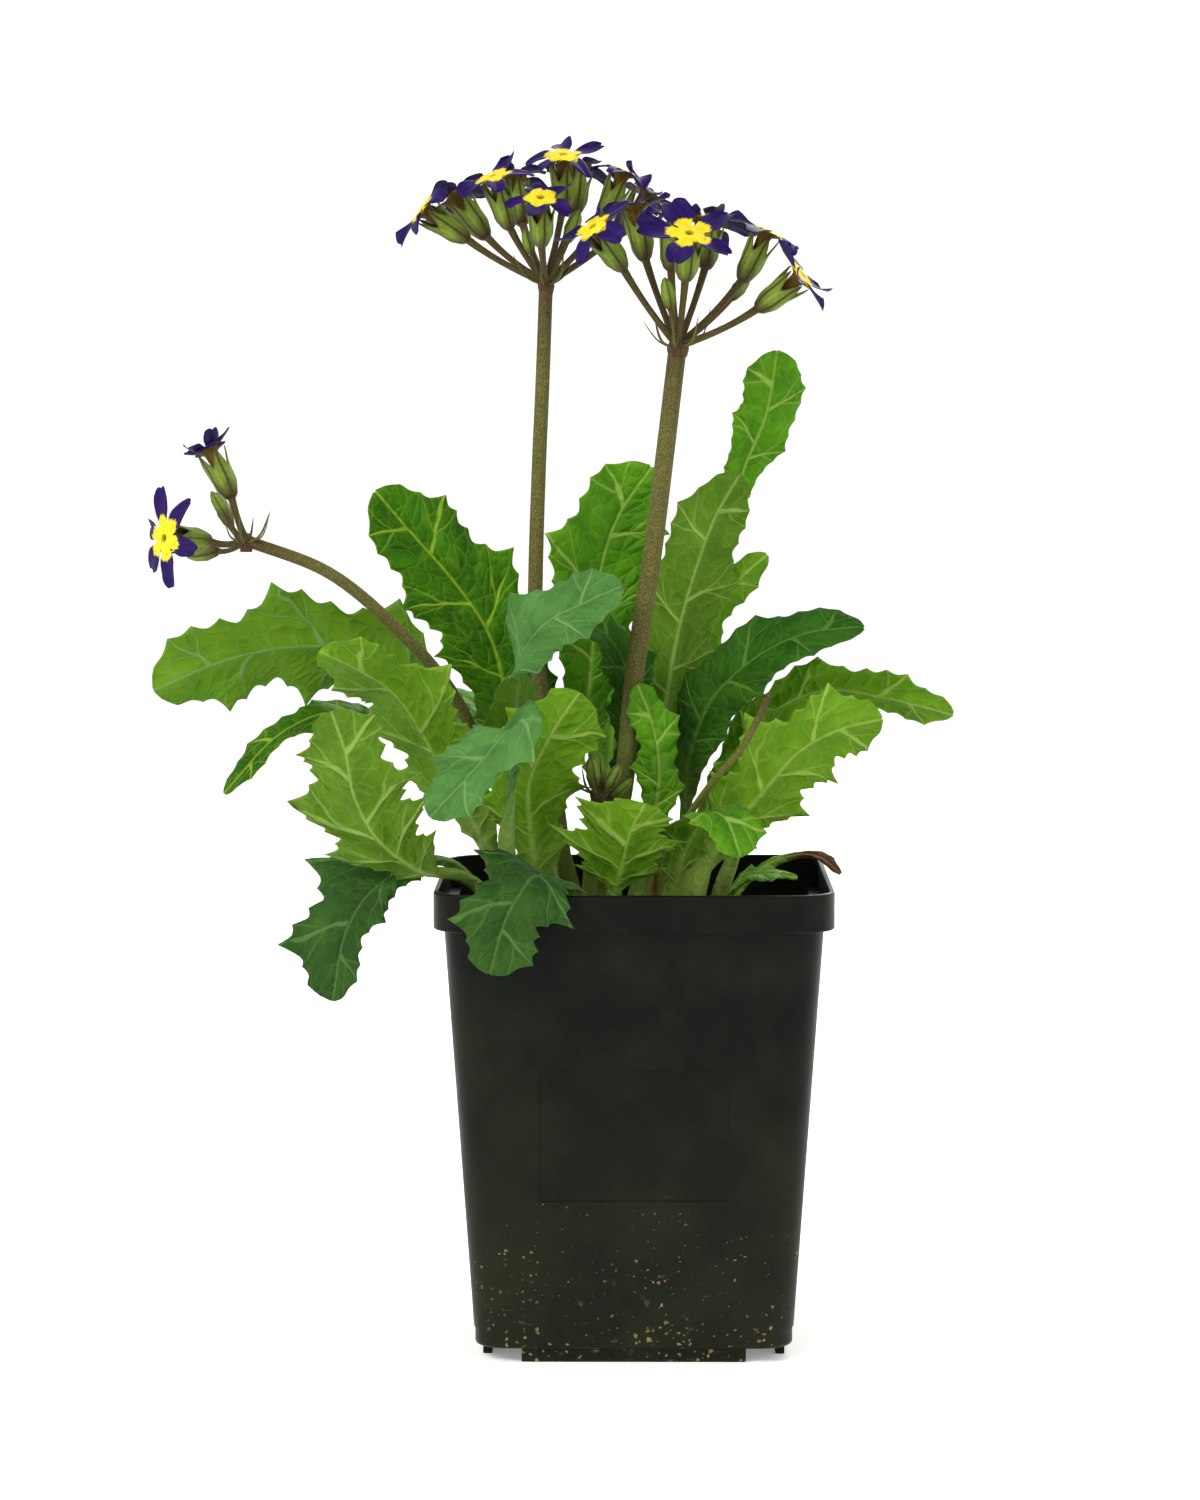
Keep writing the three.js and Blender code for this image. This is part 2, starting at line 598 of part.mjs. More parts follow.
// The flower stems. A flower or bud is given by the foot of its calyx and the way it looks.
const SCAPES = {
  scape_middle: {
    foot: [-18, 3],
    path: [[-22, 4, 151], [-28, 5, 196], [-28, 6, 215], [-27, 7, 247], [-26, 8, 270], [-25, 9, 298]],
    radius: 2.1,
    flowers: [
      { calyx: [-47, 7, 310], face: [-12, -2, 8] },
      { calyx: [-42, 17, 311], face: [-9, 5, 12] },
      { calyx: [-32, 24, 315], face: [-3, 8, 14] },
      { calyx: [-35, 1, 313], face: [-4, -4, 13] },
      { calyx: [-26, -4, 308], face: [0, -8, 12], reach: 10.5 },
      { calyx: [-20, 8, 319], face: [0, -6, 15] },
      { calyx: [-17, 22, 318], face: [1, 8, 14], reach: 10.5 },
      { calyx: [-9, 9, 315], face: [6, 0, 14], reach: 9.5 },
      { calyx: [-5, 20, 312], face: [9, 4, 12], reach: 10.5 },
    ],
    buds: [
      { calyx: [-29, 3, 306], face: [-1, -3, 4], size: 0.6 },
      { calyx: [-19, 0, 309], face: [2, -3, 5], size: 0.75 },
    ],
  },
  scape_right: {
    foot: [-10, -7],
    path: [[-6, -8, 141], [-3, -8, 157], [0, -9, 188], [5, -10, 222], [8, -12, 246], [12, -14, 280]],
    radius: 2.7,
    flowers: [
      { calyx: [-3, -18, 301], face: [-8, -6, 11] },
      { calyx: [3, -4, 304], face: [-3, 3, 15], reach: 10.5 },
      { calyx: [10, -12, 301], face: [1, -1, 16], reach: 8.5 },
      { calyx: [14, -23, 298], face: [1, -9, 12], reach: 14.5 },
      { calyx: [20, 1, 302], face: [1, 9, 13] },
      { calyx: [30, -8, 298], face: [6, 0, 12] },
      { calyx: [34, -20, 290], face: [12, -3, 9] },
    ],
    buds: [
      { calyx: [10, -20, 290], face: [-1, -3, 5], size: 0.7 },
      { calyx: [27, -3, 293], face: [3, 3, 4], size: 0.7 },
    ],
  },
  scape_left: {
    foot: [-28, 3],
    path: [
      [-30, 0, 136], [-41, -4, 161], [-51, -9, 183], [-66, -13, 201], [-85, -16, 217], [-108, -16, 226],
    ],
    radius: 1.75,
    flowers: [
      { calyx: [-118, -18, 226], face: [-11, -10, 1], petals: 6 },
      { calyx: [-112, -14, 238], face: [-6, 3, 12], reach: 8, lift: 3 },
    ],
    buds: [
      { calyx: [-113, -11, 230], face: [-5, 5, 11], size: 0.75 },
      { calyx: [-113, -21, 233], face: [-5, -5, 9], size: 0.6 },
      { calyx: [-116, -11, 223], face: [-11, 5, -2], size: 0.75 },
    ],
  },
  scape_old: {
    foot: [7, -7],
    path: [[9, -13, 138], [16, -22, 151], [22, -28, 160], [30, -33, 170], [37, -35, 184]],
    radius: 1,
    flowers: [],
    buds: [],
  },
  scape_young: {
    foot: [-13, -17],
    path: [[-12, -18, 136], [-11, -18, 147], [-10, -18, 156]],
    radius: 2.1,
    flowers: [],
    buds: [
      { calyx: [-11, -20, 157], face: [-1, -3, 9], size: 0.7 },
      { calyx: [-8, -19, 156], face: [4, -2, 8], size: 0.65 },
      { calyx: [-10, -16, 157], face: [0, 4, 9], size: 0.7 },
      { calyx: [-7, -17, 154], face: [8, 0, 7], size: 0.6 },
    ],
  },
};

// A flower's own axes at the foot of its calyx
function flowerFrame({ calyx, face }) {
  const up = V(...face).normalize();
  const side = squareTo(up, V(1, 0, 0));
  const across = V(0, 0, 0).crossVectors(up, side);
  const origin = V(...calyx);
  return (radius, height, turn) =>
    origin
      .clone()
      .addScaledVector(up, height)
      .addScaledVector(side, radius * Math.cos(turn))
      .addScaledVector(across, radius * Math.sin(turn));
}

// An open calyx: a ribbed cup with five teeth, its throat wide enough for the flower's tube
function calyxCup(place) {
  const points = 10;
  const ring = (tip, gap) =>
    Array.from({ length: points }, (_, j) => {
      const [radius, height] = j % 2 ? gap : tip;
      return place(radius, height, (2 * Math.PI * j) / points);
    });
  const even = (radius, height) => ring([radius, height], [radius * 0.92, height]);
  return skin([
    even(1.5, -0.3),
    even(CALYX_RADIUS, 5.5),
    ring([CALYX_RADIUS + 0.5, CALYX_LENGTH], [CALYX_RADIUS, 9.4]),
    even(THROAT_RADIUS, THROAT_FLOOR),
  ]);
}

// A closed bud in its calyx: five-sided, drawn out to a blunt point
function budBody(place, size) {
  const profile = [[1.2, -0.3], [3.1, 4.5], [2.4, 9.5], [0.8, 12.5]];
  return skin(
    profile.map(([radius, height]) =>
      Array.from({ length: 5 }, (_, j) => place(radius * size, height * size, (2 * Math.PI * j) / 5)),
    ),
  );
}

function makeScape(scape) {
  const path = standingPath(scape.foot, scape.path);
  standsAt(scape.foot, scape.radius + STEM_CLEARANCE);
  const top = V(...scape.path.at(-1));
  const steps = Math.max(6, Math.round(path.getLength() / STEM_STEP));
  const pieces = [rod(path, (share) => scape.radius * lerp(1.06, 0.94, share), steps, 6)];
  const heads = [...scape.flowers, ...scape.buds];
  for (const head of heads) {
    const size = head.size ?? 1;
    const place = flowerFrame(head);
    const foot = place(0, 0.9, 0);
    const under = V(...head.calyx);
    const middle = top.clone().lerp(under, 0.55);
    middle.z -= 1.2;
    const stalk = new THREE.QuadraticBezierCurve3(top, middle, foot);
    pieces.push(rod(stalk, () => PEDICEL_RADIUS * size, 2, 4));
    pieces.push(head.size ? budBody(place, size) : calyxCup(place));
  }
  if (heads.length) {
    const knot = new THREE.SphereGeometry(scape.radius * 1.25, 6, 4);
    knot.translate(top.x, top.y, top.z);
    pieces.push(knot);
    for (let k = 0; k < BRACTS; k++) {
      const turn = (2 * Math.PI * (k + 0.3)) / BRACTS;
      const way = V(Math.cos(turn), Math.sin(turn), 0.35);
      const from = top.clone().addScaledVector(way, scape.radius * 0.4);
      const to = top.clone().addScaledVector(way, scape.radius + BRACT_LENGTH);
      pieces.push(rod(new THREE.LineCurve3(from, to), (share) => lerp(0.9, 0.3, share), 1, 3));
    }
  }
  return geometryOf(joined(pieces));
}

// A flower's corolla in one piece: the tube, and a flat limb of notched petals round a raised eye
function makeCorolla(flower) {
  const place = flowerFrame(flower);
  const petals = flower.petals ?? 5;
  const reach = flower.reach ?? PETAL_REACH;
  const lift = flower.lift ?? 0;
  const spin = draw() * Math.PI;
  const outline = [];
  for (let petal = 0; petal < petals; petal++) {
    const own = lift + PETAL_PLAY.rise * (draw() - 0.5);
    const long = reach * (1 + PETAL_PLAY.long * (draw() - 0.5));
    for (const [share, part] of PETAL_OUTLINE) {
      const radius = Math.max(EYE_RADIUS + EYE_EDGE, long * part);
      const height = LIMB_HEIGHT + own * (radius / reach) ** 2;
      outline.push({ turn: spin + (2 * Math.PI * (petal + share)) / petals, radius, height });
    }
  }
  const round = (radius, height) => outline.map(({ turn }) => place(radius, height, turn));
  return skin([
    round(TUBE_RADIUS, TUBE_FOOT),
    round(TUBE_RADIUS, LIMB_HEIGHT - 1.8),
    outline.map(({ radius, height, turn }) => place(radius, height - PETAL_THICK, turn)),
    outline.map(({ radius, height, turn }) => place(radius, height, turn)),
    round(EYE_RADIUS, LIMB_HEIGHT + EYE_EDGE),
  ]);
}

const group = new THREE.Group();

function add(name, geometry, color, roughness) {
  const material = new THREE.MeshStandardMaterial({ color, roughness, metalness: 0 });
  const mesh = new THREE.Mesh(geometry, material);
  mesh.name = name;
  group.add(mesh);
}

add("pot", makePot(), COLOUR.pot, 0.45);
for (const [name, leaf] of Object.entries(LEAVES)) {
  add(name, makeLeaf(leaf), COLOUR[leaf.colour ?? "leafLight"], 0.6);
}
for (const [name, scape] of Object.entries(SCAPES)) {
  add(name, makeScape(scape), COLOUR.scape, 0.7);
  scape.flowers.forEach((flower, k) => {
    add(name.replace("scape", "corolla") + "_" + (k + 1), makeCorolla(flower), COLOUR.petal, 0.5);
  });
}
add("soil", makeSoil(), COLOUR.soil, 0.95);

export default group;
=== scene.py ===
# %% [markdown]
# A potted oakleaf primrose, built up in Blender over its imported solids.
# The plant has thin lobed leaves with a strong rib and a net of veins, mealy flower stems with an umbel
# of violet flowers, and a square nursery pot of black plastic filled with compost.
# Blender counts in metres and the sizes here are in millimetres, so MM turns one into the other once,
# when a mesh is made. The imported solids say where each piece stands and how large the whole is.

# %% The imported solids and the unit
import math
from functools import partial

import bmesh
import bpy
import numpy as np
from mathutils import Matrix, Vector


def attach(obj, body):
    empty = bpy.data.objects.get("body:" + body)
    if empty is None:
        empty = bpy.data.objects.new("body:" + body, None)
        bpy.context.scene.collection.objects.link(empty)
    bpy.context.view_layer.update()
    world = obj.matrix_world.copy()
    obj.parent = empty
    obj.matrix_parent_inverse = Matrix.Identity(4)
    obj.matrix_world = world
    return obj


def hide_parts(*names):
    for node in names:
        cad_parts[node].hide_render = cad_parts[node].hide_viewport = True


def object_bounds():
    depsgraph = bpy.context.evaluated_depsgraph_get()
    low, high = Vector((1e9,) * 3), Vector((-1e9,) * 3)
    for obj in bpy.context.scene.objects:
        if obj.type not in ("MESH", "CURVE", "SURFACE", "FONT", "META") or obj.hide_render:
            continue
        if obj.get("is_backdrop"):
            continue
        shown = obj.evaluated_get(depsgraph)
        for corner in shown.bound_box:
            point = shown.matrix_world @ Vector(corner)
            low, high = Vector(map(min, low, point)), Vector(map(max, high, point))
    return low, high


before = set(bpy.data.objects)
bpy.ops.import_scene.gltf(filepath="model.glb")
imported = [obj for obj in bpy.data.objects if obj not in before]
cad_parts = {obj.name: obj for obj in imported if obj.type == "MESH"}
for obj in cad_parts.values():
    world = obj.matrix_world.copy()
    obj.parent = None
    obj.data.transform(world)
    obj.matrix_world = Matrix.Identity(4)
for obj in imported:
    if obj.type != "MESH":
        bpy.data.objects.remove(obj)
cad_low, cad_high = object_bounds()
MM = 0.001
print("solids:", len(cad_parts), "box in mm:", [round(v / MM) for v in (*cad_low, *cad_high)])

# %% [markdown]
# The camera comes first. It stands a little above the leaves, 1.25 m in front of the pot, and looks
# slightly down. A long lens keeps the pot's sides nearly parallel, as they look in a product view.

# %% The camera
LONG_SIDE_PIXELS = 1500
FOCAL_PIXELS = 4454
CAMERA_PLACE = (0, -1255, 266.6)
CAMERA_PITCH = math.radians(4.57)
CAMERA_YAW = math.radians(0.44)

camera_data = bpy.data.cameras.new("camera")
camera_data.lens = camera_data.sensor_width * FOCAL_PIXELS / LONG_SIDE_PIXELS
camera = bpy.data.objects.new("camera", camera_data)
camera.location = [v * MM for v in CAMERA_PLACE]
camera.rotation_euler = (math.pi / 2 - CAMERA_PITCH, 0, CAMERA_YAW)
bpy.context.scene.collection.objects.link(camera)
bpy.context.scene.camera = camera
print("lens:", round(camera_data.lens, 1), "mm")

# %% [markdown]
# Every mesh is gathered part by part: points in millimetres, faces, and numbers on the points that a
# material can read, such as how far a point lies from a leaf's rib. A closed part is turned inside out
# where its volume comes out negative, so all faces look outwards.

# %% Gathering parts into a mesh
class Parts:
    """The parts of one piece: points in mm, faces, marks on the points and a finish for each face."""

    def __init__(self, *mark_names):
        self.points, self.faces, self.finishes = [], [], []
        self.marks = {name: [] for name in mark_names}

    def add(self, points, faces, finish=0, **marks):
        points = np.asarray(points, float)
        if signed_volume(points, faces) < 0:
            faces = [face[::-1] for face in faces]
        first = sum(map(len, self.points))
        self.points.append(points)
        self.faces += [[first + i for i in face] for face in faces]
        self.finishes += [finish] * len(faces)
        for name, kept in self.marks.items():
            kept.append(np.asarray(marks.get(name, np.zeros((len(points), 3))), float))

    def add_rings(self, rings, finish=0, **marks):
        """A closed skin over rows of rings, with marks in rows of the same size."""
        rings = np.asarray(rings, float)
        self.add(
            flat(rings),
            ring_faces(*rings.shape[:2]),
            finish,
            **{name: flat(np.asarray(rows)) for name, rows in marks.items()},
        )

    def piece(self, name, *materials):
        mesh = bpy.data.meshes.new(name)
        mesh.from_pydata(np.vstack(self.points) * MM, [], self.faces)
        mesh.polygons.foreach_set("use_smooth", [True] * len(self.faces))
        for mark, kept in self.marks.items():
            layer = mesh.attributes.new(mark, "FLOAT_VECTOR", "POINT")
            layer.data.foreach_set("vector", np.vstack(kept).astype(np.float32).ravel())
        for material in materials:
            mesh.materials.append(material)
        mesh.polygons.foreach_set("material_index", self.finishes)
        made = bpy.data.objects.new(name, mesh)
        bpy.context.scene.collection.objects.link(made)
        return made


def signed_volume(points, faces):
    """The volume in a closed mesh, worked out from the fans of its faces."""
    total = 0
    by_size = {}
    for face in faces:
        by_size.setdefault(len(face), []).append(face)
    for size, group in by_size.items():
        corners = points[np.array(group)]
        for k in range(1, size - 1):
            normals = np.cross(corners[:, k], corners[:, k + 1])
            total += np.einsum("ij,ij->", corners[:, 0], normals) / 6
    return total

# %% [markdown]
# Most parts of a plant are a row of rings: a stem is rings along a curve, and a leaf is flat rings that
# run over its upper face and back under it. One function joins neighbouring rings and closes both ends.

# %% Rings to faces
def ring_faces(rings, around):
    """Quads between `rings` rings of `around` points, with a cap on each end."""
    faces = []
    for i in range(rings - 1):
        for j in range(around):
            a = i * around + j
            b = i * around + (j + 1) % around
            faces.append([a, b, b + around, a + around])
    faces.append(list(range(around))[::-1])
    faces.append(list(range((rings - 1) * around, rings * around)))
    return faces


def sheet_rings(upper, lower):
    """The points of a thin closed sheet: each row runs over its upper face and back under it."""
    return np.concatenate([upper, lower[:, ::-1]], axis=1)


def flat(rings):
    return rings.reshape(-1, 3)

# %% [markdown]
# Ribs and stems follow curves through a few given points. A centripetal Catmull-Rom curve goes
# through all of them without loops, and the solids use the same one, so both lie in the same place.

# %% Curves through points
def unit(vectors):
    return vectors / np.linalg.norm(vectors, axis=-1, keepdims=True)


class Path:
    """A centripetal Catmull-Rom curve through points in mm, walked by the share of its length."""

    STEPS = 60

    def __init__(self, points):
        points = np.array(points, float)
        points = np.vstack([2 * points[0] - points[1], points, 2 * points[-1] - points[-2]])
        stretches = [self.stretch(*points[i : i + 4]) for i in range(len(points) - 3)]
        self.points = np.vstack([*stretches, points[-2]])
        steps = np.linalg.norm(np.diff(self.points, axis=0), axis=1)
        self.reach = np.concatenate([[0], np.cumsum(steps)])
        self.length = self.reach[-1]
        self.tangents = unit(np.gradient(self.points, self.reach, axis=0))

    def stretch(self, before, start, end, after):
        first, middle, last = (
            np.linalg.norm(b - a) ** 0.5 for a, b in ((before, start), (start, end), (end, after))
        )
        leaving = (start - before) / first - (end - before) / (first + middle) + (end - start) / middle
        coming = (end - start) / middle - (after - start) / (middle + last) + (after - end) / last
        leaving, coming = leaving * middle, coming * middle
        t = np.linspace(0, 1, self.STEPS, endpoint=False)[:, None]
        square = -3 * start + 3 * end - 2 * leaving - coming
        cube = 2 * start - 2 * end + leaving + coming
        return start + leaving * t + square * t**2 + cube * t**3

    def at(self, share):
        """Places and directions at shares of the length. Past the end the curve goes straight on."""
        share = np.asarray(share, float)
        inside = np.clip(share, 0, 1) * self.length
        place, along = (
            np.stack([np.interp(inside, self.reach, rows[:, k]) for k in range(3)], -1)
            for rows in (self.points, self.tangents)
        )
        along = unit(along)
        return place + along * (np.maximum(share - 1, 0) * self.length)[..., None], along

# %% [markdown]
# Small irregularities come from one seeded stream of numbers, the same as in the solids, so a petal that
# is a little longer there is longer here.

# %% One seeded stream of numbers
class Chance:
    """Numbers from 0 to 1 by a multiplying rule, the same each run."""

    def __init__(self, seed):
        self.seed = seed

    def draw(self):
        self.seed = (self.seed * 16807) % 2147483647
        return self.seed / 2147483647

# %% [markdown]
# A material is a small net of nodes. One function turns the colours from sRGB hex to the linear numbers
# that shaders use, one adds a node with its settings and its links, and one starts a material with its
# Principled shader. Everything else is said where each finish is made.

# %% Colours, nodes and new materials
def linear(colour):
    parts = [int(colour[i : i + 2], 16) / 255 for i in (1, 3, 5)]
    return [c / 12.92 if c <= 0.04045 else ((c + 0.055) / 1.055) ** 2.4 for c in parts] + [1]


def feed(node, values):
    """Sets inputs by name or number: a socket is linked, and a hex colour is made linear."""
    for key, value in values.items():
        if isinstance(value, bpy.types.NodeSocket):
            node.id_data.links.new(value, node.inputs[key])
        else:
            node.inputs[key].default_value = linear(value) if isinstance(value, str) else value


def add(tree, kind, *values, **named):
    """A node with its live inputs fed in order, and settings or inputs by name. Gives its output."""
    made = tree.nodes.new("ShaderNode" + kind)
    for name in [name for name in named if name not in made.inputs]:
        setattr(made, name, named.pop(name))
    live = [number for number, socket in enumerate(made.inputs) if socket.enabled]
    feed(made, {**dict(zip(live, values)), **named})
    return next(socket for socket in made.outputs if socket.enabled)


def new_material(name):
    material = bpy.data.materials.new(name)
    material.use_nodes = True
    tree = material.node_tree
    return material, tree, tree.nodes["Principled BSDF"]


def mark(tree, name):
    """The three numbers of a mark on the mesh."""
    return add(
        tree, "SeparateXYZ", add(tree, "Attribute", attribute_name=name).node.outputs["Vector"]
    ).node.outputs


def own_place(tree):
    return add(tree, "TexCoord").node.outputs["Object"]


def let_light_through(tree, shader, share, colour, normal):
    """Gives a thin skin a share of light that comes through from its other side."""
    through = add(tree, "BsdfTranslucent", colour, normal)
    both = add(tree, "MixShader", share, shader.outputs[0], through)
    feed(tree.nodes["Material Output"], {"Surface": both})

# %% [markdown]
# The stage is a plain pale floor that curves up into a wall all round, so no horizon shows from any
# side. The light is a large soft lamp high on the left, a weaker one on the right and one from behind,
# which shines through the thin leaves as daylight does. The sky light comes in over the open wall.

# %% The stage and the light
FLOOR_RADIUS = 2600
COVE_RADIUS = 1200
WALL_TOP = 3200
STAGE_STEPS = 96
COVE_STEPS = 16


def make_stage():
    arc = np.linspace(0, math.pi / 2, COVE_STEPS)
    reach = FLOOR_RADIUS + COVE_RADIUS * np.sin(arc)
    height = COVE_RADIUS * (1 - np.cos(arc))
    profile = [(0.5, 0), *zip(reach, height), (FLOOR_RADIUS + COVE_RADIUS, WALL_TOP)]
    turns = np.linspace(0, 2 * math.pi, STAGE_STEPS, endpoint=False)
    rings = np.array([[(r * math.cos(a), r * math.sin(a), z) for a in turns] for r, z in profile])
    mesh = bpy.data.meshes.new("stage")
    mesh.from_pydata(flat(rings) * MM, [], ring_faces(len(profile), STAGE_STEPS)[:-1])
    mesh.flip_normals()
    mesh.polygons.foreach_set("use_smooth", [True] * len(mesh.polygons))
    made = bpy.data.objects.new("stage", mesh)
    bpy.context.scene.collection.objects.link(made)
    return made


stage = make_stage()
paper, tree, shader = new_material("matt white paper")
grain = add(tree, "TexNoise", Scale=3, Detail=2)
tone = add(tree, "Mix", grain, "#f4f4f2", "#fbfbfa", data_type="RGBA")
feed(shader, {
    "Base Color": tone, "Roughness": 0.9, "Emission Color": "#ffffff", "Emission Strength": 0.22,
})
stage.data.materials.append(paper)
stage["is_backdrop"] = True


def add_lamp(name, place, aim, width, watts, colour):
    data = bpy.data.lights.new(name, "AREA")
    data.shape = "SQUARE"
    data.size = width * MM
    data.energy = watts
    data.color = linear(colour)[:3]
    lamp = bpy.data.objects.new(name, data)
    place, aim = (np.array(spot) * MM for spot in (place, aim))
    lamp.location = place
    way = Vector(aim - place)
    lamp.rotation_euler = way.to_track_quat("-Z", "Y").to_euler()
    bpy.context.scene.collection.objects.link(lamp)


PLANT_MIDDLE = (0, 0, 180)
add_lamp("key", (-1100, -1300, 1500), PLANT_MIDDLE, 900, 36, "#fffaf2")
add_lamp("fill", (1500, -1000, 700), PLANT_MIDDLE, 1300, 7, "#f4f8ff")
add_lamp("back", (500, 1500, 1300), PLANT_MIDDLE, 1200, 26, "#fffdf6")
world = bpy.data.worlds.new("sky")
world.use_nodes = True
world.node_tree.nodes["Background"].inputs["Color"].default_value = linear("#eef2f6")
world.node_tree.nodes["Background"].inputs["Strength"].default_value = 0.55
bpy.context.scene.world = world
bpy.context.scene.view_settings.view_transform = "Standard"
print("stage radius:", FLOOR_RADIUS + COVE_RADIUS, "mm; lamps: 3")

# %% [markdown]
# A primrose leaf is soft and faintly waxy, with short mealy hairs. Its upper face is mid green with
# pale, sunken veins. Its under face is lighter and yellower, with thick raised ribs, and light shines
# through it. The hairs catch light at a slant and turn it blue-grey, which is what Sheen does.
# The veins have four levels: the midrib, side veins that run to the lobes and fork near the edge, a net
# with cells of about 4 mm between them and a finer net inside those. The side veins follow the marks on
# the mesh. Each net is the edges of Voronoi cells measured along the leaf, so it bends with the blade.

# %% The leaf finish
SIDE_VEIN_MM = 0.42
FORK_STARTS = 0.3
FORK_REACH = 0.25
NET_CELL_MM = 4.4
FINE_CELL_MM = 1.7
PATCH_MM = 11
SWELL_MM = 9


def leaf_veins(tree, across, along, phase, gap, reach, petiole, own):
    """How strongly a vein shows, how puffed the blade is between, and a place in mm on the blade."""
    lean = add(tree, "Math", across, operation="ABSOLUTE")
    leaned = add(tree, "Math", lean, -0.6, along, operation="MULTIPLY_ADD")
    where = add(tree, "CombineXYZ", across, leaned, own)

    # A side vein lies where the lobe phase passes one half. A little noise bends it.
    wobble = add(tree, "TexNoise", where, 0.14, 1)
    bend = add(tree, "MapRange", wobble, 0, 1, -0.07, 0.07)
    bent = add(tree, "Math", phase, bend)
    turned = add(tree, "Math", bent, operation="FRACT")
    aside = add(tree, "Math", turned, 0.5, operation="SUBTRACT")
    far = add(tree, "Math", aside, operation="ABSOLUTE")
    far_mm = add(tree, "Math", far, gap, operation="MULTIPLY")
    thin = add(tree, "Math", reach, -0.75 * SIDE_VEIN_MM, SIDE_VEIN_MM, operation="MULTIPLY_ADD")
    soft = add(tree, "Math", thin, 2.4, operation="MULTIPLY")
    side = add(tree, "MapRange", far_mm, thin, soft, 1, 0)

    # Its forks leave it partway out and run to the teeth on both sides of the lobe's point
    out_share = add(tree, "MapRange", reach, FORK_STARTS, 1, 0, FORK_REACH)
    off = add(tree, "Math", far, out_share, operation="SUBTRACT")
    off_fork = add(tree, "Math", off, operation="ABSOLUTE")
    fork_mm = add(tree, "Math", off_fork, gap, operation="MULTIPLY")
    fork = add(tree, "MapRange", fork_mm, 0.08, 0.5, 0.6, 0)

    # The midrib, wide at the foot and narrow towards the tip
    taper = add(tree, "Math", petiole, 1.6, 0.7, operation="MULTIPLY_ADD")
    mid = add(tree, "MapRange", lean, 0.1, taper, 1, 0)

    shown = side
    nets = []
    for cell, width, strength in ((NET_CELL_MM, 0.08, 0.24), (FINE_CELL_MM, 0.16, 0.1)):
        net = add(tree, "TexVoronoi", where, 1 / cell, feature="DISTANCE_TO_EDGE")
        nets += [net, add(tree, "MapRange", net, 0.01, width, strength, 0)]
    for other in (fork, mid, nets[1], nets[3]):
        shown = add(tree, "Math", shown, other, operation="MAXIMUM")
    puff = add(tree, "MapRange", nets[0], 0, 0.35, 0, 1)
    return shown, puff, where


def leaf_finish(name, upper, upper_dark, under, vein, glow, sheen, sheen_tint):
    material, tree, shader = new_material(name)
    across, along, under_face = mark(tree, "blade")
    phase, gap, reach = mark(tree, "veins")
    petiole, wither, own = mark(tree, "habit")
    shown, puff, where = leaf_veins(tree, across, along, phase, gap, reach, petiole, own)

    # Colour: patches on the upper face, yellower below, paler to the petiole, brown where it withers
    patches = add(tree, "TexNoise", where, 1 / PATCH_MM, 3)
    patch = add(tree, "MapRange", patches, 0.36, 0.64)
    top = add(tree, "Mix", patch, upper, upper_dark, data_type="RGBA")
    low = add(tree, "Mix", patch, under, "#dde8c0", data_type="RGBA", blend_type="MULTIPLY")
    face = add(tree, "Mix", under_face, top, low, data_type="RGBA")
    vein_share = add(tree, "Math", shown, 0.72, operation="MULTIPLY")
    veined = add(tree, "Mix", vein_share, face, vein, data_type="RGBA")
    pale = add(tree, "MapRange", petiole, 0.35, 1, 0, 0.8)
    stalked = add(tree, "Mix", pale, veined, "#9db35c", data_type="RGBA")
    # The foot of the petiole is straw brown
    straw = add(tree, "MapRange", petiole, 0.9, 1, 0, 1)
    straw_patch = add(tree, "Math", straw, patch, operation="MULTIPLY")
    strawed = add(tree, "Mix", straw_patch, stalked, "#8d6f3a", data_type="RGBA")
    # A pale band along the edge: partly the margin's own paler tissue, partly a painted highlight where
    # light catches the edge.
    rim = add(tree, "MapRange", reach, 0.965, 1, 0, 0.35)
    edge_pale_and_lit = add(tree, "Mix", rim, strawed, vein, data_type="RGBA")
    browned = add(tree, "Mix", wither, edge_pale_and_lit, "#5c3f1c", data_type="RGBA")

    # Relief: veins stand out below and lie sunk above, with puffs between, broad swells and fine down
    sign = add(tree, "MapRange", under_face, 0, 1, -0.6, 0.6)
    lines = add(tree, "Math", shown, sign, operation="MULTIPLY")
    puff_sign = add(tree, "MapRange", under_face, 0, 1, 0.9, -0.6)
    puffed = add(tree, "Math", puff, puff_sign, lines, operation="MULTIPLY_ADD")
    nap = add(tree, "TexNoise", where, 2.4, 4)
    swell = add(tree, "TexNoise", where, 1 / SWELL_MM, 1)
    swelled = add(tree, "Math", swell, 2.6, puffed, operation="MULTIPLY_ADD")
    height = add(tree, "Math", nap, 0.2, swelled, operation="MULTIPLY_ADD")
    bump = add(tree, "Bump", Strength=0.8, Distance=0.8 * MM, Height=height)
    rough = add(tree, "MapRange", nap, 0, 1, 0.42, 0.62)
    feed(shader, {
        "Base Color": browned, "Normal": bump, "Roughness": rough, "IOR": 1.42,
        "Specular IOR Level": 0.13, "Sheen Weight": sheen, "Sheen Roughness": 0.45,
        "Sheen Tint": sheen_tint,
    })

    # Light that comes through the blade, greener and brighter than what it gives back
    lit = add(tree, "Mix", 1, browned, glow, data_type="RGBA", blend_type="MULTIPLY")
    let_light_through(tree, shader, 0.34, lit, bump)
    return material


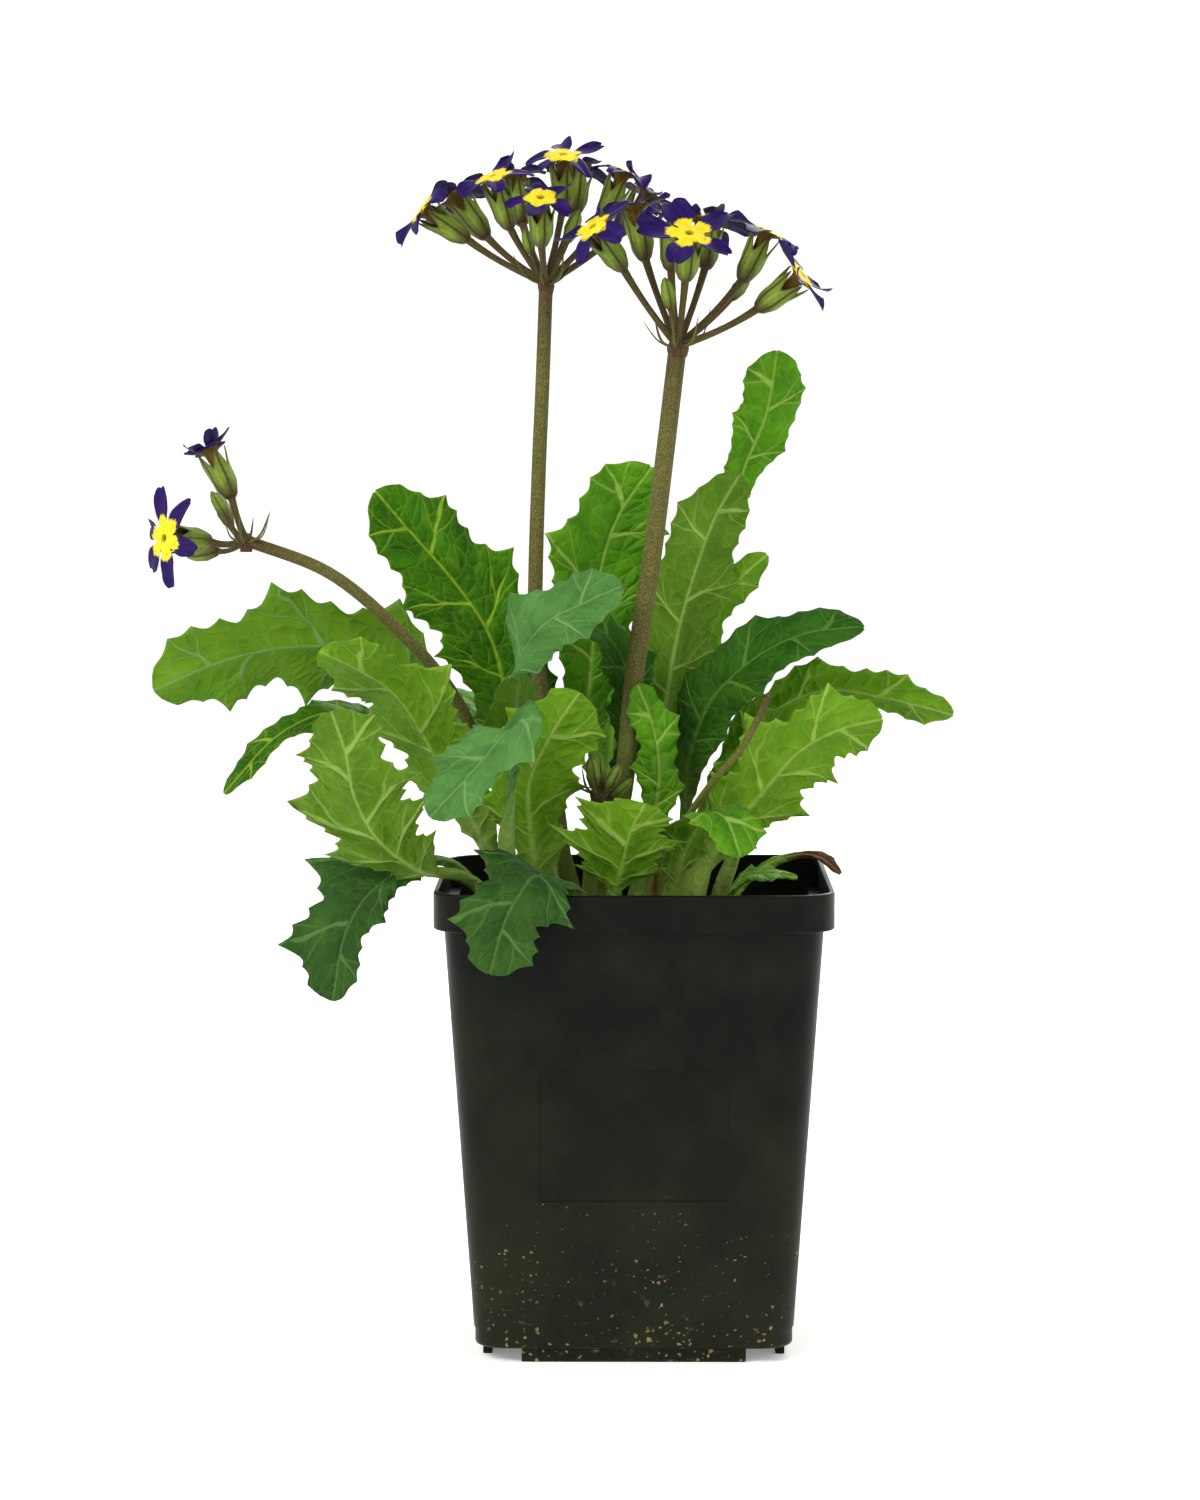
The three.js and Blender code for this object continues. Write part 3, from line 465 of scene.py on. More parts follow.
# name: the upper face, its patches, the under face, the veins, light through it, sheen and its tint
LEAF_COLOURS = {
    "leafLight": ("fresh", "#5b9a10", "#427e06", "#6c9c1a", "#a4c25a", "#ecff60", 0.02, "#b9d8c4"),
    # leafMid is a darker copy of leafLight: painted shade on the two leaves that use it.
    "leafMid": ("painted shade, darker", "#4c840e", "#386c06", "#5a8218", "#9cba5c", "#dcff58", 0.02, "#b9d8c4"),
    "leafDark": ("dark", "#3f7a06", "#285c04", "#5c940c", "#a2c43c", "#e2ff58", 0.02, "#a9cfc0"),
    "leafShade": ("shaded", "#306312", "#214d08", "#4f8014", "#608c32", "#d8ff58", 0.03, "#a9cfc0"),
    "leafGrey": ("mealy", "#37601e", "#284b17", "#5d8c20", "#5c8442", "#dcff68", 0.1, "#a8d3c6"),
    "leafBlue": ("glaucous", "#5a9046", "#447834", "#6c981a", "#7fa862", "#e4ff60", 0.07, "#b4dcd0"),
}
LEAF_FINISH = {
    key: leaf_finish("primrose leaf, " + name, *rest) for key, (name, *rest) in LEAF_COLOURS.items()
}
print("leaf finishes:", len(LEAF_FINISH))

# %% [markdown]
# A leaf follows its rib. Lobes stand on both sides, those on the right a third of a lobe behind those on
# the left, and each runs out to a point with a small tooth at each side. The sides cup upwards, the edge
# waves, and the blade bulges between the side veins. Rows of points run along the side veins, so each
# vein can be a real ridge below and a furrow above. This is a rule in numbers, so plain mesh code makes
# it, with the same rule as the solids and more points.

# %% The shape of a leaf
SOIL_TOP = 113
FOOT_DEPTH = 9
GAP = 0.3
PETIOLE_HALF = 2.6
TIP_HALF = 0.7
SWELL = 0.52
SIDE_LAG = 1 / 3
VEIN_ANGLE = math.radians(58)
LOBE_POINT = 2 / 3
LOBE_SHARP = 1.5
LOBE_LEAN = 0.35
LEAST_RIB = 0.55
RIPPLE_LAG = 1.1
KEEL_HALF = 2.7
KEEL_AT_FOOT = 2.2
KEEL_AT_BLADE = 1.6
KEEL_AT_TIP = 0.5
LEAF_HALF_THICK = 0.32
LEAF_EDGE_THICK = 0.09
ROWS_PER_LOBE = 24
PETIOLE_ROWS = 14
LEAF_COLUMNS = 31
TOOTH = 0.28
TEETH = 4
BULGE = 0.55
VEIN_RIDGE = 0.4
VEIN_SPREAD = 0.5

LEAF_HABIT = dict(
    half=14, lobes=4, bare=0.3, widest=1.5, depth=0.4, cup=0.012, wave=1.2, wavelength=22, sides=(1, 1)
)


def standing(foot, points):
    """A curve that starts upright in the compost at `foot` and goes on through `points`."""
    x, y = foot
    return Path([(x, y, SOIL_TOP - FOOT_DEPTH + GAP), (x, y, SOIL_TOP + 3), *points])


def envelope(leaf, t):
    swell = np.maximum(np.sin(math.pi * t ** leaf["widest"]), 0) ** SWELL
    return np.maximum.reduce([PETIOLE_HALF * (1 - t), np.full_like(t, TIP_HALF), leaf["half"] * swell])


def lobe_share(leaf, t, phase):
    """How much of the full width the edge reaches: 1 at a lobe's point, less in the cuts."""
    place = phase % 1
    climb = np.where(place < LOBE_POINT, place / LOBE_POINT, (1 - place) / (1 - LOBE_POINT))
    cut = 1 - np.maximum(climb, 0) ** LOBE_SHARP
    off_tooth = np.abs((TEETH * (place - LOBE_POINT) + 0.5) % 1 - 0.5) * 2
    tooth = TOOTH * leaf["depth"] * (1 - off_tooth) ** LOBE_SHARP
    fade = np.minimum(1, 6 * (1 - t))
    return 1 - leaf["depth"] * cut * fade + (tooth - TOOTH * leaf["depth"]) * np.minimum(1, 5 * t + 0.2)


def leaf_axes(leaf, path, share):
    centre, along = path.at(share)
    faces = np.array(leaf["faces"], float)
    place = np.clip(share, 0, 1) * (len(faces) - 1)
    wanted = np.stack([np.interp(place, range(len(faces)), faces[:, k]) for k in range(3)], -1)
    up = unit(wanted - along * np.sum(wanted * along, -1, keepdims=True))
    return centre, up, np.cross(along, up)


def make_leaf(name, given, own):
    leaf = {**LEAF_HABIT, **given}
    path = standing(leaf["foot"], leaf["rib"])
    bare, blade_length = leaf["bare"], path.length * (1 - leaf["bare"])
    spread = np.linspace(-1, 1, LEAF_COLUMNS)
    column = np.sign(spread) * np.abs(spread) ** 1.25
    right = column > 0

    t = np.linspace(0, 1, ROWS_PER_LOBE * leaf["lobes"] + 1)
    full = envelope(leaf, t)
    half, edge, phase = [], [], []
    for lag, side in zip((0, SIDE_LAG), leaf["sides"]):
        turned = leaf["lobes"] * t + lag
        part = lobe_share(leaf, t, turned)
        lean = LOBE_LEAN * full * side * (part - 1 + leaf["depth"]) / blade_length
        half.append(full * side * part)
        edge.append(bare + (1 - bare) * (t + lean * (1 - t)))
        phase.append(turned - LOBE_POINT + 0.5)
    slant = full / math.tan(VEIN_ANGLE) / blade_length
    rib = bare + (1 - bare) * np.maximum(t - slant, LEAST_RIB * t)

    # The petiole's rows go before the blade's
    foot = np.linspace(0, bare * 0.97, PETIOLE_ROWS)
    blend = (foot / bare) ** 6
    t = np.concatenate([np.zeros(PETIOLE_ROWS), t])
    half = [np.concatenate([PETIOLE_HALF + (h[0] - PETIOLE_HALF) * blend, h]) for h in half]
    edge = [np.concatenate([foot, e]) for e in edge]
    phase = [np.concatenate([np.full(PETIOLE_ROWS, p[0]), p]) for p in phase]
    rib = np.concatenate([foot, rib])

    half, edge, phase = (
        np.where(right, pair[1][:, None], pair[0][:, None]) for pair in (half, edge, phase)
    )
    reach = np.broadcast_to(np.abs(column), (len(t), LEAF_COLUMNS))
    b = np.sign(column) * half * reach
    share = rib[:, None] + (edge - rib[:, None]) * reach
    on_blade = np.clip((share - bare) / (1 - bare) * 6, 0, 1)

    # The blade's middle surface: cupped, waved, and bulging between the side veins
    centre, up, across = leaf_axes(leaf, path, share)
    bend = leaf["cup"] * b
    rise = (1 - np.cos(bend)) / leaf["cup"]
    out = np.sin(bend) / leaf["cup"]
    turn = 2 * math.pi * share * path.length / leaf["wavelength"] + np.sign(column) * RIPPLE_LAG
    rise = rise + leaf["wave"] * (b / leaf["half"]) ** 2 * np.sin(turn)
    gap = blade_length / leaf["lobes"]
    off_vein = np.abs(phase % 1 - 0.5) * gap
    bulge = 1 - np.exp(-((off_vein / 2.6) ** 2))
    bulge = bulge * (1 - np.exp(-((b / 3.2) ** 2))) * (1 - reach**5) * on_blade
    rise = rise + BULGE * bulge
    middle = centre + across * out[..., None] + up * rise[..., None]
    normal = up * np.cos(bend)[..., None] - across * np.sin(bend)[..., None]

    # Thickness: a keel and raised veins below, a groove along the rib above
    keel = np.interp(share, [0, bare, 1], [KEEL_AT_FOOT, KEEL_AT_BLADE, KEEL_AT_TIP])
    ridge = keel * np.sqrt(np.maximum(0, 1 - (b / KEEL_HALF) ** 2))
    vein = VEIN_RIDGE * np.exp(-((off_vein / VEIN_SPREAD) ** 2)) * (1 - 0.75 * reach) * on_blade
    thick = LEAF_EDGE_THICK + (LEAF_HALF_THICK - LEAF_EDGE_THICK) * (1 - reach**4)
    groove = 0.4 * np.exp(-((b / 0.8) ** 2)) * on_blade
    upper = middle + normal * (thick - groove - 0.5 * vein)[..., None]
    lower = middle - normal * (thick + np.maximum(ridge, vein))[..., None]

    along_mm = share * path.length
    to_foot = 1 - np.clip((share - 0.6 * bare) / (0.75 * (1 - bare)), 0, 1)
    wither = np.clip((share - leaf.get("wither", 2)) * 5, 0, 1)
    marks = {}
    for label, first, second, above, below in (
        ("blade", b, along_mm, 0 * b, 0 * b + 1),
        ("veins", phase, 0 * b + gap, reach, reach),
        ("habit", to_foot, wither, 0 * b + own, 0 * b + own),
    ):
        faces = [np.stack([first, second, third], -1) for third in (above, below)]
        marks[label] = sheet_rings(*faces)
    parts = Parts("blade", "veins", "habit")
    parts.add_rings(sheet_rings(upper, lower), **marks)
    return parts.piece(name, LEAF_FINISH[leaf.get("colour", "leafLight")])

# %% [markdown]
# Where the leaves stand. The ribs' points and the ways the upper faces look are given in
# millimetres, and they are the same as in the solids that these leaves stand for. Each leaf is its foot
# on the compost, its rib, the ways its upper face looks along it, and what is its own in the habit.

# %% The leaves
LEAVES = {
    "left_arch": (
        (-36, 8), ((-45, 10, 150), (-58, 7, 179), (-75, 3, 194), (-95, -1, 196), (-113, -5, 193),
        (-135, -9, 184)), ((0.3, 0.9, 0.3), (0.1, 1, 0.3), (0, 0.9, 0.4), (0.1, 0.8, 0.5)),
        dict(half=21, colour="leafBlue", bare=0.32, wave=2),
    ),
    "left_droop": (
        (-32, 19), ((-46, 18, 143), (-61, 14, 165), (-72, 7, 174), (-86, -1, 177), (-100, -7, 171),
        (-115, -12, 155)), ((0.3, -0.2, 1), (0, -0.35, 0.9), (-0.4, -0.5, 0.8)),
        dict(half=11, colour="leafDark", bare=0.34, widest=1),
    ),
    "left_front": (
        (-29, -7), ((-39, -13, 139), (-50, -18, 158), (-58, -24, 173), (-66, -30, 185),
        (-76, -35, 192), (-86, -39, 197)), ((0.6, 0.7, 0.3), (0.4, 0.8, 0.5), (0.2, 0.7, 0.7)),
        dict(half=21, bare=0.32, widest=1.2),
    ),
    "low_left": (
        (-34, -15), ((-46, -27, 133), (-59, -35, 137), (-70, -42, 146), (-76, -46, 158),
        (-78, -48, 169), (-82, -49, 181)), ((0.2, 0.2, 1), (0.4, 0.7, 0.6), (0.3, 0.9, 0.2),
        (0.3, 0.9, 0.2)), dict(half=22, colour="leafMid", bare=0.44, widest=1.1, wave=1.8),
    ),
    "hanging_left": (
        (-38, -5), ((-49, -13, 135), (-60, -22, 137), (-68, -28, 133), (-75, -33, 127),
        (-80, -37, 117), (-83, -39, 100)), ((0, -0.2, 1), (-0.1, -0.4, 0.9), (-0.5, -0.8, 0.3),
        (-0.4, -0.9, 0.1)),
        dict(half=18, sides=(0.65, 1.25), colour="leafGrey", bare=0.42, lobes=3, widest=1.1),
    ),
    "over_rim": (
        (-20, -27), ((-21, -38, 130), (-24, -50, 136), (-28, -60, 136), (-34, -66, 127),
        (-39, -67, 111)), ((0, 0, 1), (0, -0.2, 1), (0, -1, 0.5), (0, -1, 0)),
        dict(half=18, colour="leafGrey", bare=0.38, lobes=3, widest=1.1),
    ),
    "front_fold": (
        (-30, -25), ((-35, -33, 140), (-34, -40, 160), (-32, -46, 174), (-34, -53, 176),
        (-41, -58, 168), (-55, -62, 153)), ((0.3, 0.9, 0.2), (0.2, 0.8, 0.4), (-0.4, -0.4, 1),
        (-0.6, -0.8, 0.3), (-0.5, -0.9, 0.4)),
        dict(half=16, colour="leafBlue", bare=0.46, lobes=3, widest=1.2),
    ),
    "front_centre": (
        (-24, -17), ((-27, -20, 134), (-29, -24, 148), (-29, -28, 160), (-23, -31, 173),
        (-15, -33, 185)), ((0, 1, 0.1), (-0.2, 1, 0.1)),
        dict(half=18, sides=(1.15, 0.9), bare=0.26, lobes=3),
    ),
    "left_centre": (
        (-20, -7), ((-28, -9, 141), (-33, -13, 165), (-34, -17, 181), (-32, -20, 193),
        (-25, -23, 203), (-14, -25, 209), (-3, -27, 214)), ((0, 1, 0.1), (0, 1, 0.1),
        (-0.2, 1, 0.2), (-0.6, 0.4, 0.8), (0, -0.8, 0.6), (0, -0.8, 0.6)),
        dict(half=15, colour="leafBlue", bare=0.36, depth=0.3, wave=0.8),
    ),
    "back_left": (
        (-26, 13), ((-30, 16, 150), (-37, 22, 181), (-42, 24, 198), (-52, 25, 213), (-64, 22, 227),
        (-74, 18, 239)), ((0, -1, 0.1), (0.3, -1, 0.2), (0.3, -1, 0.3)),
        dict(half=20, colour="leafDark", bare=0.38, widest=1.2, depth=0.3),
    ),
    "small_inner": (
        (-16, 13), ((-24, 13, 150), (-27, 12, 176), (-29, 12, 198)), ((0, -1, 0.1), (0, -1, 0.1)),
        dict(half=7, colour="leafShade", bare=0.4, lobes=3),
    ),
    "back_centre": (
        (-6, 13), ((-9, 18, 149), (-13, 22, 178), (-12, 24, 195), (-10, 26, 215), (-5, 26, 231),
        (5, 24, 246)), ((0, -1, 0.1), (0.2, -1, 0.1), (0.2, -1, 0.1)),
        dict(half=19, bare=0.42, depth=0.3),
    ),
    "inner_arch": (
        (-8, 3), ((-5, 2, 151), (-1, 0, 174), (-3, -2, 192), (-12, -4, 202), (-24, -6, 204)),
        ((0, -1, 0.1), (0.5, -1, 0.2), (0.2, -0.5, 0.9)),
        dict(half=11, colour="leafShade", bare=0.4),
    ),
    "front_low": (
        (-6, -27), ((-5, -32, 130), (-3, -38, 139), (-1, -44, 148), (3, -51, 156)), ((0, 0.8, 0.3),
        (0, 0.8, 0.6)), dict(half=19, sides=(0.9, 1.2), bare=0.46, lobes=3, widest=1),
    ),
    "inner_right": (
        (-1, -7), ((4, -10, 141), (7, -12, 161), (5, -13, 175), (1, -14, 186)), ((0.2, -1, 0),
        (0.2, -1, 0)), dict(half=9, bare=0.35, lobes=3),
    ),
    "upper_right": (
        (2, 3), ((5, 7, 151), (9, 10, 182), (13, 12, 202), (18, 13, 219), (23, 14, 232),
        (30, 15, 244)), ((0.2, 1, 0), (-0.2, 1, 0), (-0.2, 1, 0.1)),
        dict(half=14, colour="leafMid", bare=0.38, depth=0.25),
    ),
    "tallest": (
        (3, 23), ((10, 26, 160), (18, 29, 195), (25, 31, 225), (32, 32, 246), (38, 30, 261),
        (41, 25, 279)), ((0.2, -1, 0.1), (0.2, -1, 0.2), (0.4, -1, 0.2)),
        dict(half=11, bare=0.64, widest=2.6, depth=0.2),
    ),
    "small_right": (
        (4, 13), ((10, 16, 161), (16, 18, 187), (23, 20, 206), (30, 20, 214), (38, 20, 221)),
        ((0.2, 1, 0), (-0.2, 1, 0.2)), dict(half=9, bare=0.4, lobes=3),
    ),
    "right_dark": (
        (13, 11), ((14, 7, 144), (16, 0, 165), (22, -5, 181), (34, -9, 193), (48, -13, 200),
        (64, -16, 202)), ((-0.6, 0.7, 0.2), (-0.4, -0.5, 0.7), (0, -0.8, 0.7), (0, -0.7, 0.8)),
        dict(half=13, colour="leafShade", bare=0.34, depth=0.22, wave=0.7, widest=1.2),
    ),
    "far_right": (
        (14, 22), ((20, 19, 147), (30, 12, 167), (43, 7, 180), (56, 3, 184), (70, 0, 182),
        (90, -3, 177)), ((-0.3, 0.6, 0.7), (-0.1, 0.8, 0.6), (0, 0.7, 0.7)),
        dict(half=13, bare=0.34),
    ),
    "behind_stem": (
        (12, 2), ((19, 2, 137), (29, -1, 157), (38, -4, 169), (52, -7, 180)), ((-0.3, 0.9, 0.3),
        (-0.1, 0.9, 0.4)), dict(half=11, bare=0.36, lobes=3),
    ),
    "low_right": (
        (16, -9), ((20, -11, 134), (29, -15, 148), (37, -17, 158), (46, -19, 168), (57, -20, 174),
        (69, -20, 177)), ((-0.3, 0.7, 0.6), (-0.2, 0.9, 0.4), (0, 0.9, 0.5)),
        dict(half=19, bare=0.3, widest=1.2),
    ),
    "front_right": (
        (7, -17), ((11, -22, 132), (15, -30, 145), (20, -37, 152), (25, -44, 151), (29, -49, 141)),
        ((0, 0.4, 0.9), (0.1, -0.1, 1), (0.5, -0.9, 0.3)), dict(half=15, bare=0.34, lobes=3),
    ),
    "in_rim": (
        (22, -4), ((25, -7, 124), (31, -10, 131), (38, -12, 132.5), (46, -12, 131.5)),
        ((0, -0.3, 1), (0, -0.3, 1)), dict(half=6, bare=0.3, lobes=3),
    ),
    "thin_right": (
        (25, 7), ((31, 7, 128), (42, 6, 135), (52, 5, 136), (59, 4, 131)), ((0, -0.2, 1),
        (0, -0.3, 1)), dict(half=4, bare=0.3, lobes=3, wither=0.6),
    ),
    "rear_left": (
        (-20, 23), ((-25, 33, 133), (-35, 50, 156), (-47, 68, 174), (-60, 86, 178)),
        ((0.3, -0.6, 0.8), (0.2, -0.5, 1), (0, 0, 1)), dict(half=15, bare=0.3, lobes=3),
    ),
    "rear": (
        (-8, 24), ((-8, 36, 140), (-6, 58, 170), (-3, 80, 186), (1, 104, 184)), ((0, -0.8, 0.6),
        (0, -0.4, 1), (0, 0.1, 1)), dict(half=15, bare=0.3, lobes=3),
    ),
    "rear_right": (
        (23, 17), ((29, 32, 134), (41, 52, 156), (54, 70, 168), (67, 88, 164)), ((-0.3, -0.6, 0.8),
        (-0.2, -0.5, 1), (0, 0, 1)), dict(half=14, bare=0.3, lobes=3),
    ),
}


def seat(piece, slot, *nodes):
    """A finished piece rides on the one body and stands for its solids, which it hides. `slot` is not
    used.
    """
    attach(piece, "root")
    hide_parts(*nodes)


for number, (name, (foot, rib, faces, habit)) in enumerate(LEAVES.items()):
    blade = make_leaf("blade_" + name, dict(foot=foot, rib=rib, faces=faces, **habit), own=7.3 * number)
    seat(blade, "leaf", "leaf_" + name)
print("leaves:", len(LEAVES), "faces in the last one:", len(blade.data.polygons))

# %% [markdown]
# The petals are velvety: tiny cone-shaped cells scatter light at a slant, so the dark violet turns
# lighter and bluer there. Sheen gives that. The eye is a raised yellow star round a pit that is painted
# dark olive as shade in the throat. The star's edge is told by a mark on the mesh: the distance from the
# middle as a share of the star's own reach. Below, the petals are duller and greyer, and the tube is a
# brownish yellow.

# %% The petal finish
STREAK_MM = 0.5


def petal_finish():
    material, tree, shader = new_material("primrose petal, velvet")
    radius, star, below = mark(tree, "bloom")
    aside, onward, petal = mark(tree, "strip")
    thin = add(tree, "Math", onward, 0.12, operation="MULTIPLY")
    place = add(tree, "CombineXYZ", aside, thin, petal)
    streaks = add(tree, "TexNoise", place, 1 / STREAK_MM, 3)
    streak = add(tree, "MapRange", streaks, 0.35, 0.7)
    violet = add(tree, "Mix", streak, "#150636", "#2c1166", data_type="RGBA")
    back = add(tree, "Mix", streak, "#1a0f34", "#31235a", data_type="RGBA")
    petal_colour = add(tree, "Mix", below, violet, back, data_type="RGBA")
    frayed = add(tree, "Math", streaks, 0.42, star, operation="MULTIPLY_ADD")
    inside = add(tree, "MapRange", frayed, 1.12, 1.22, 1, 0)
    yellow = add(tree, "Mix", streak, "#dcc414", "#ecdb3a", data_type="RGBA")
    dull = add(tree, "Mix", below, yellow, "#5c4814", data_type="RGBA")
    eyed = add(tree, "Mix", inside, petal_colour, dull, data_type="RGBA")
    # Down in the throat the colour turns dark olive: painted shade in the pit.
    outside = add(tree, "Math", below, 9, radius, operation="MULTIPLY_ADD")
    pit = add(tree, "MapRange", outside, 0.55, 1.35, 1, 0)
    throat_shaded = add(tree, "Mix", pit, eyed, "#5a5208", data_type="RGBA")
    grain = add(tree, "Math", streaks, 0.2, 0.42, operation="MULTIPLY_ADD")
    bump = add(tree, "Bump", Strength=0.35, Distance=0.3 * MM, Height=streaks)
    feed(shader, {
        "Base Color": throat_shaded, "Roughness": grain, "Normal": bump, "IOR": 1.4,
        "Specular IOR Level": 0.16, "Sheen Weight": 0.04, "Sheen Roughness": 0.4,
        "Sheen Tint": "#3f25b4",
    })
    let_light_through(tree, shader, 0.12, throat_shaded, bump)
    return material


PETAL = petal_finish()
print("finish:", PETAL.name)

# %% [markdown]
# A flower is a tube that opens into a flat funnel, with five petals round it. Each petal is narrow at
# its root, broad towards its end and notched there. The petals differ a little in length and lift, by
# the same draws as in the solids. The raised star round the throat is the middle of the funnel's skin.

# %% The shape of a flower
TUBE_RADIUS = 1.45
TUBE_FOOT = 4.4
LIMB_HEIGHT = 15.2
PETAL_REACH = 11.8
PETAL_PLAY = dict(rise=2.4, long=0.12)
PETAL_NARROW = 1.5
PETAL_ROWS = 20
PETAL_COLUMNS = 13
PETAL_HALF_THICK = 0.16
FUNNEL_SIDES = 40
STAR_REACH = 5.2
FLOWER_SEED = 20


def flower_axes(head):
    """The foot, and the three directions of a flower: sideways, across and the way it looks."""
    up = unit(np.array(head["face"], float))
    side = np.array([1.0, 0, 0])
    side = unit(side - up * side.dot(up))
    return np.array(head["calyx"], float), side, np.cross(up, side), up


def placed(axes, radius, height, turn):
    foot, side, across, up = axes
    radius, height, turn = np.broadcast_arrays(radius, height, turn)
    return (
        foot
        + up * height[..., None]
        + side * (radius * np.cos(turn))[..., None]
        + across * (radius * np.sin(turn))[..., None]
    )


def star_share(radius, turn, spin, petals, reach):
    """The distance from the middle as a share of the yellow star, whose points lie on the petals."""
    points = STAR_REACH * reach / PETAL_REACH * (1 + 0.1 * np.cos(petals * (turn - spin) - math.pi))
    return radius / points


def add_petal(parts, axes, middle, long, lift, reach, number, spin, petals, whim):
    rows = np.linspace(0, 1, PETAL_ROWS)[:, None]
    u = np.linspace(-1, 1, PETAL_COLUMNS)[None, :]
    roll, droop, bend = (2 * whim.draw() - 1 for _ in range(3))
    widest = long * math.tan(0.24 * 2 * math.pi / petals) * (0.84 + 0.14 * bend)
    swell = np.clip(rows / 0.6, 0, 1) ** 1.2
    half = PETAL_NARROW + (widest - PETAL_NARROW) * (3 * swell**2 - 2 * swell**3)
    tip = long * (1 - 0.07 * np.exp(-((u / 0.24) ** 2)) - 0.17 * np.abs(u) ** 3.4)
    onward = 1.6 + (tip - 1.6) * rows
    aside = u * half * (1 - 0.22 * rows**6) + 0.7 * bend * rows**2
    radius, turn = np.hypot(onward, aside), middle + np.arctan2(aside, onward)
    curl = (0.4 + 1.1 * abs(roll)) * (u**2 - 0.3) * rows + 1.4 * roll * u * rows**2
    curl = curl + (2.4 * droop - 0.3) * rows**2.5 + 0.25 * np.sin(6 * rows + 2.3 * number) * u
    height = LIMB_HEIGHT + 0.12 + lift * (radius / reach) ** 2 + curl - 0.5 * rows**4
    thick = PETAL_HALF_THICK * (1 - 0.7 * np.maximum(np.abs(u), rows) ** 6)
    upper = placed(axes, radius, height + thick, turn)
    lower = placed(axes, radius, height - thick, turn)
    star = star_share(radius, turn, spin, petals, reach)
    zero = np.zeros_like(radius)
    bloom = sheet_rings(np.stack([radius, star, zero], -1), np.stack([radius, star, zero + 1], -1))
    strip = np.stack([aside, onward, zero + number], -1)
    parts.add_rings(sheet_rings(upper, lower), bloom=bloom, strip=sheet_rings(strip, strip))


def add_funnel(parts, axes, spin, petals, reach):
    """The tube and the flat middle: up the outside, over the star's edge, and down into the pit."""
    turn = np.linspace(0, 2 * math.pi, FUNNEL_SIDES, endpoint=False)
    star = 1 - 0.13 * np.cos(petals * (turn - spin))
    profile = (
        (TUBE_RADIUS * 0.9, TUBE_FOOT, 0, 1),
        (TUBE_RADIUS, 7, 0, 1),
        (TUBE_RADIUS * 1.12, 11, 0, 1),
        (TUBE_RADIUS * 1.3, LIMB_HEIGHT - 2.2, 0, 1),
        (2.2, LIMB_HEIGHT - 1.1, 0.3, 1),
        (3.4, LIMB_HEIGHT - 0.5, 0.8, 1),
        (4.5, LIMB_HEIGHT - 0.1, 1, 1),
        (4.6, LIMB_HEIGHT + 0.12, 1, 0),
        (3.7, LIMB_HEIGHT + 0.36, 1, 0),
        (2.8, LIMB_HEIGHT + 0.5, 1, 0),
        (2.1, LIMB_HEIGHT + 0.62, 0.8, 0),
        (1.5, LIMB_HEIGHT + 0.66, 0.5, 0),
        (1.05, LIMB_HEIGHT + 0.4, 0.3, 0),
        (0.85, LIMB_HEIGHT - 0.4, 0, 0),
        (0.7, LIMB_HEIGHT - 2.4, 0, 0),
    )
    points, bloom, strip = [], [], []
    for radius, height, starred, below in profile:
        own = radius * (1 + starred * (star - 1))
        fold = 0.1 * starred * np.cos(2 * petals * (turn - spin))
        points.append(placed(axes, own, height + fold, turn))
        share = star_share(own, turn, spin, petals, reach)
        bloom.append(np.stack([own, share, share * 0 + below], -1))
        strip.append(np.stack([turn * 2, share * 0 + height, share * 0], -1))
    parts.add_rings(points, bloom=bloom, strip=strip)


def make_flower(name, head, chance):
    axes = flower_axes(head)
    petals, reach, lift = head.get("petals", 5), head.get("reach", PETAL_REACH), head.get("lift", 0)
    spin = chance.draw() * math.pi
    whim = Chance(round(1000 * spin) + 1)
    parts = Parts("bloom", "strip")
    add_funnel(parts, axes, spin, petals, reach)
    for number in range(petals):
        rise = lift + PETAL_PLAY["rise"] * (chance.draw() - 0.5)
        long = reach * (1 + PETAL_PLAY["long"] * (chance.draw() - 0.5))
        middle = spin + 2 * math.pi * (number + 0.5) / petals
        add_petal(parts, axes, middle, long, rise, reach, number, spin, petals, whim)
    return parts.piece(name, PETAL)

# %% [markdown]
# The stems are olive brown under a fine mealy down, browner to the top, and the thin flower stalks are
# wine red with a green streak. The calyx is green between five pale ribs, with a brown foot and brown
# teeth. The marks on the mesh say how far along and how far round a point lies, so the streaks and the
# ribs follow each piece whichever way it leans.

# %% The stem and calyx finishes
DOWN_MM = 0.35
GREEN_UP_TO = 85


def stem_finish():
    material, tree, shader = new_material("primrose stem, downy")
    turn, along, high = mark(tree, "stalk")
    down = add(tree, "TexNoise", own_place(tree), 1 / (DOWN_MM * MM), 2)
    speck = add(tree, "MapRange", down, 0.4, 0.66)
    drawn_out = add(tree, "Math", along, 0.05, operation="MULTIPLY")
    slow = add(tree, "CombineXYZ", turn, drawn_out)
    streaks = add(tree, "TexNoise", slow, 1.6, 2)
    streak = add(tree, "MapRange", streaks, 0.42, 0.6)
    olive = add(tree, "Mix", streak, "#363d0c", "#41380f", data_type="RGBA")
    wine = add(tree, "Mix", streak, "#34100f", "#3a2c16", data_type="RGBA")
    young = add(tree, "MapRange", along, GREEN_UP_TO, GREEN_UP_TO / 3, 0, 0.8)
    fresh = add(tree, "Mix", young, olive, "#56701a", data_type="RGBA")
    ground = add(tree, "Mix", high, fresh, wine, data_type="RGBA")
    mealiness = add(tree, "MapRange", high, 0, 1, 0.46, 0.14)
    share = add(tree, "Math", speck, mealiness, operation="MULTIPLY")
    mealy = add(tree, "Mix", share, ground, "#8a8448", data_type="RGBA")
    bump = add(tree, "Bump", Strength=0.5, Distance=0.2 * MM, Height=down)
    rough = add(tree, "MapRange", down, 0, 1, 0.6, 0.8)
    feed(shader, {
        "Base Color": mealy, "Normal": bump, "Roughness": rough, "Specular IOR Level": 0.2,
        "Sheen Weight": 0.06, "Sheen Tint": "#d8cfae",
    })
    return material


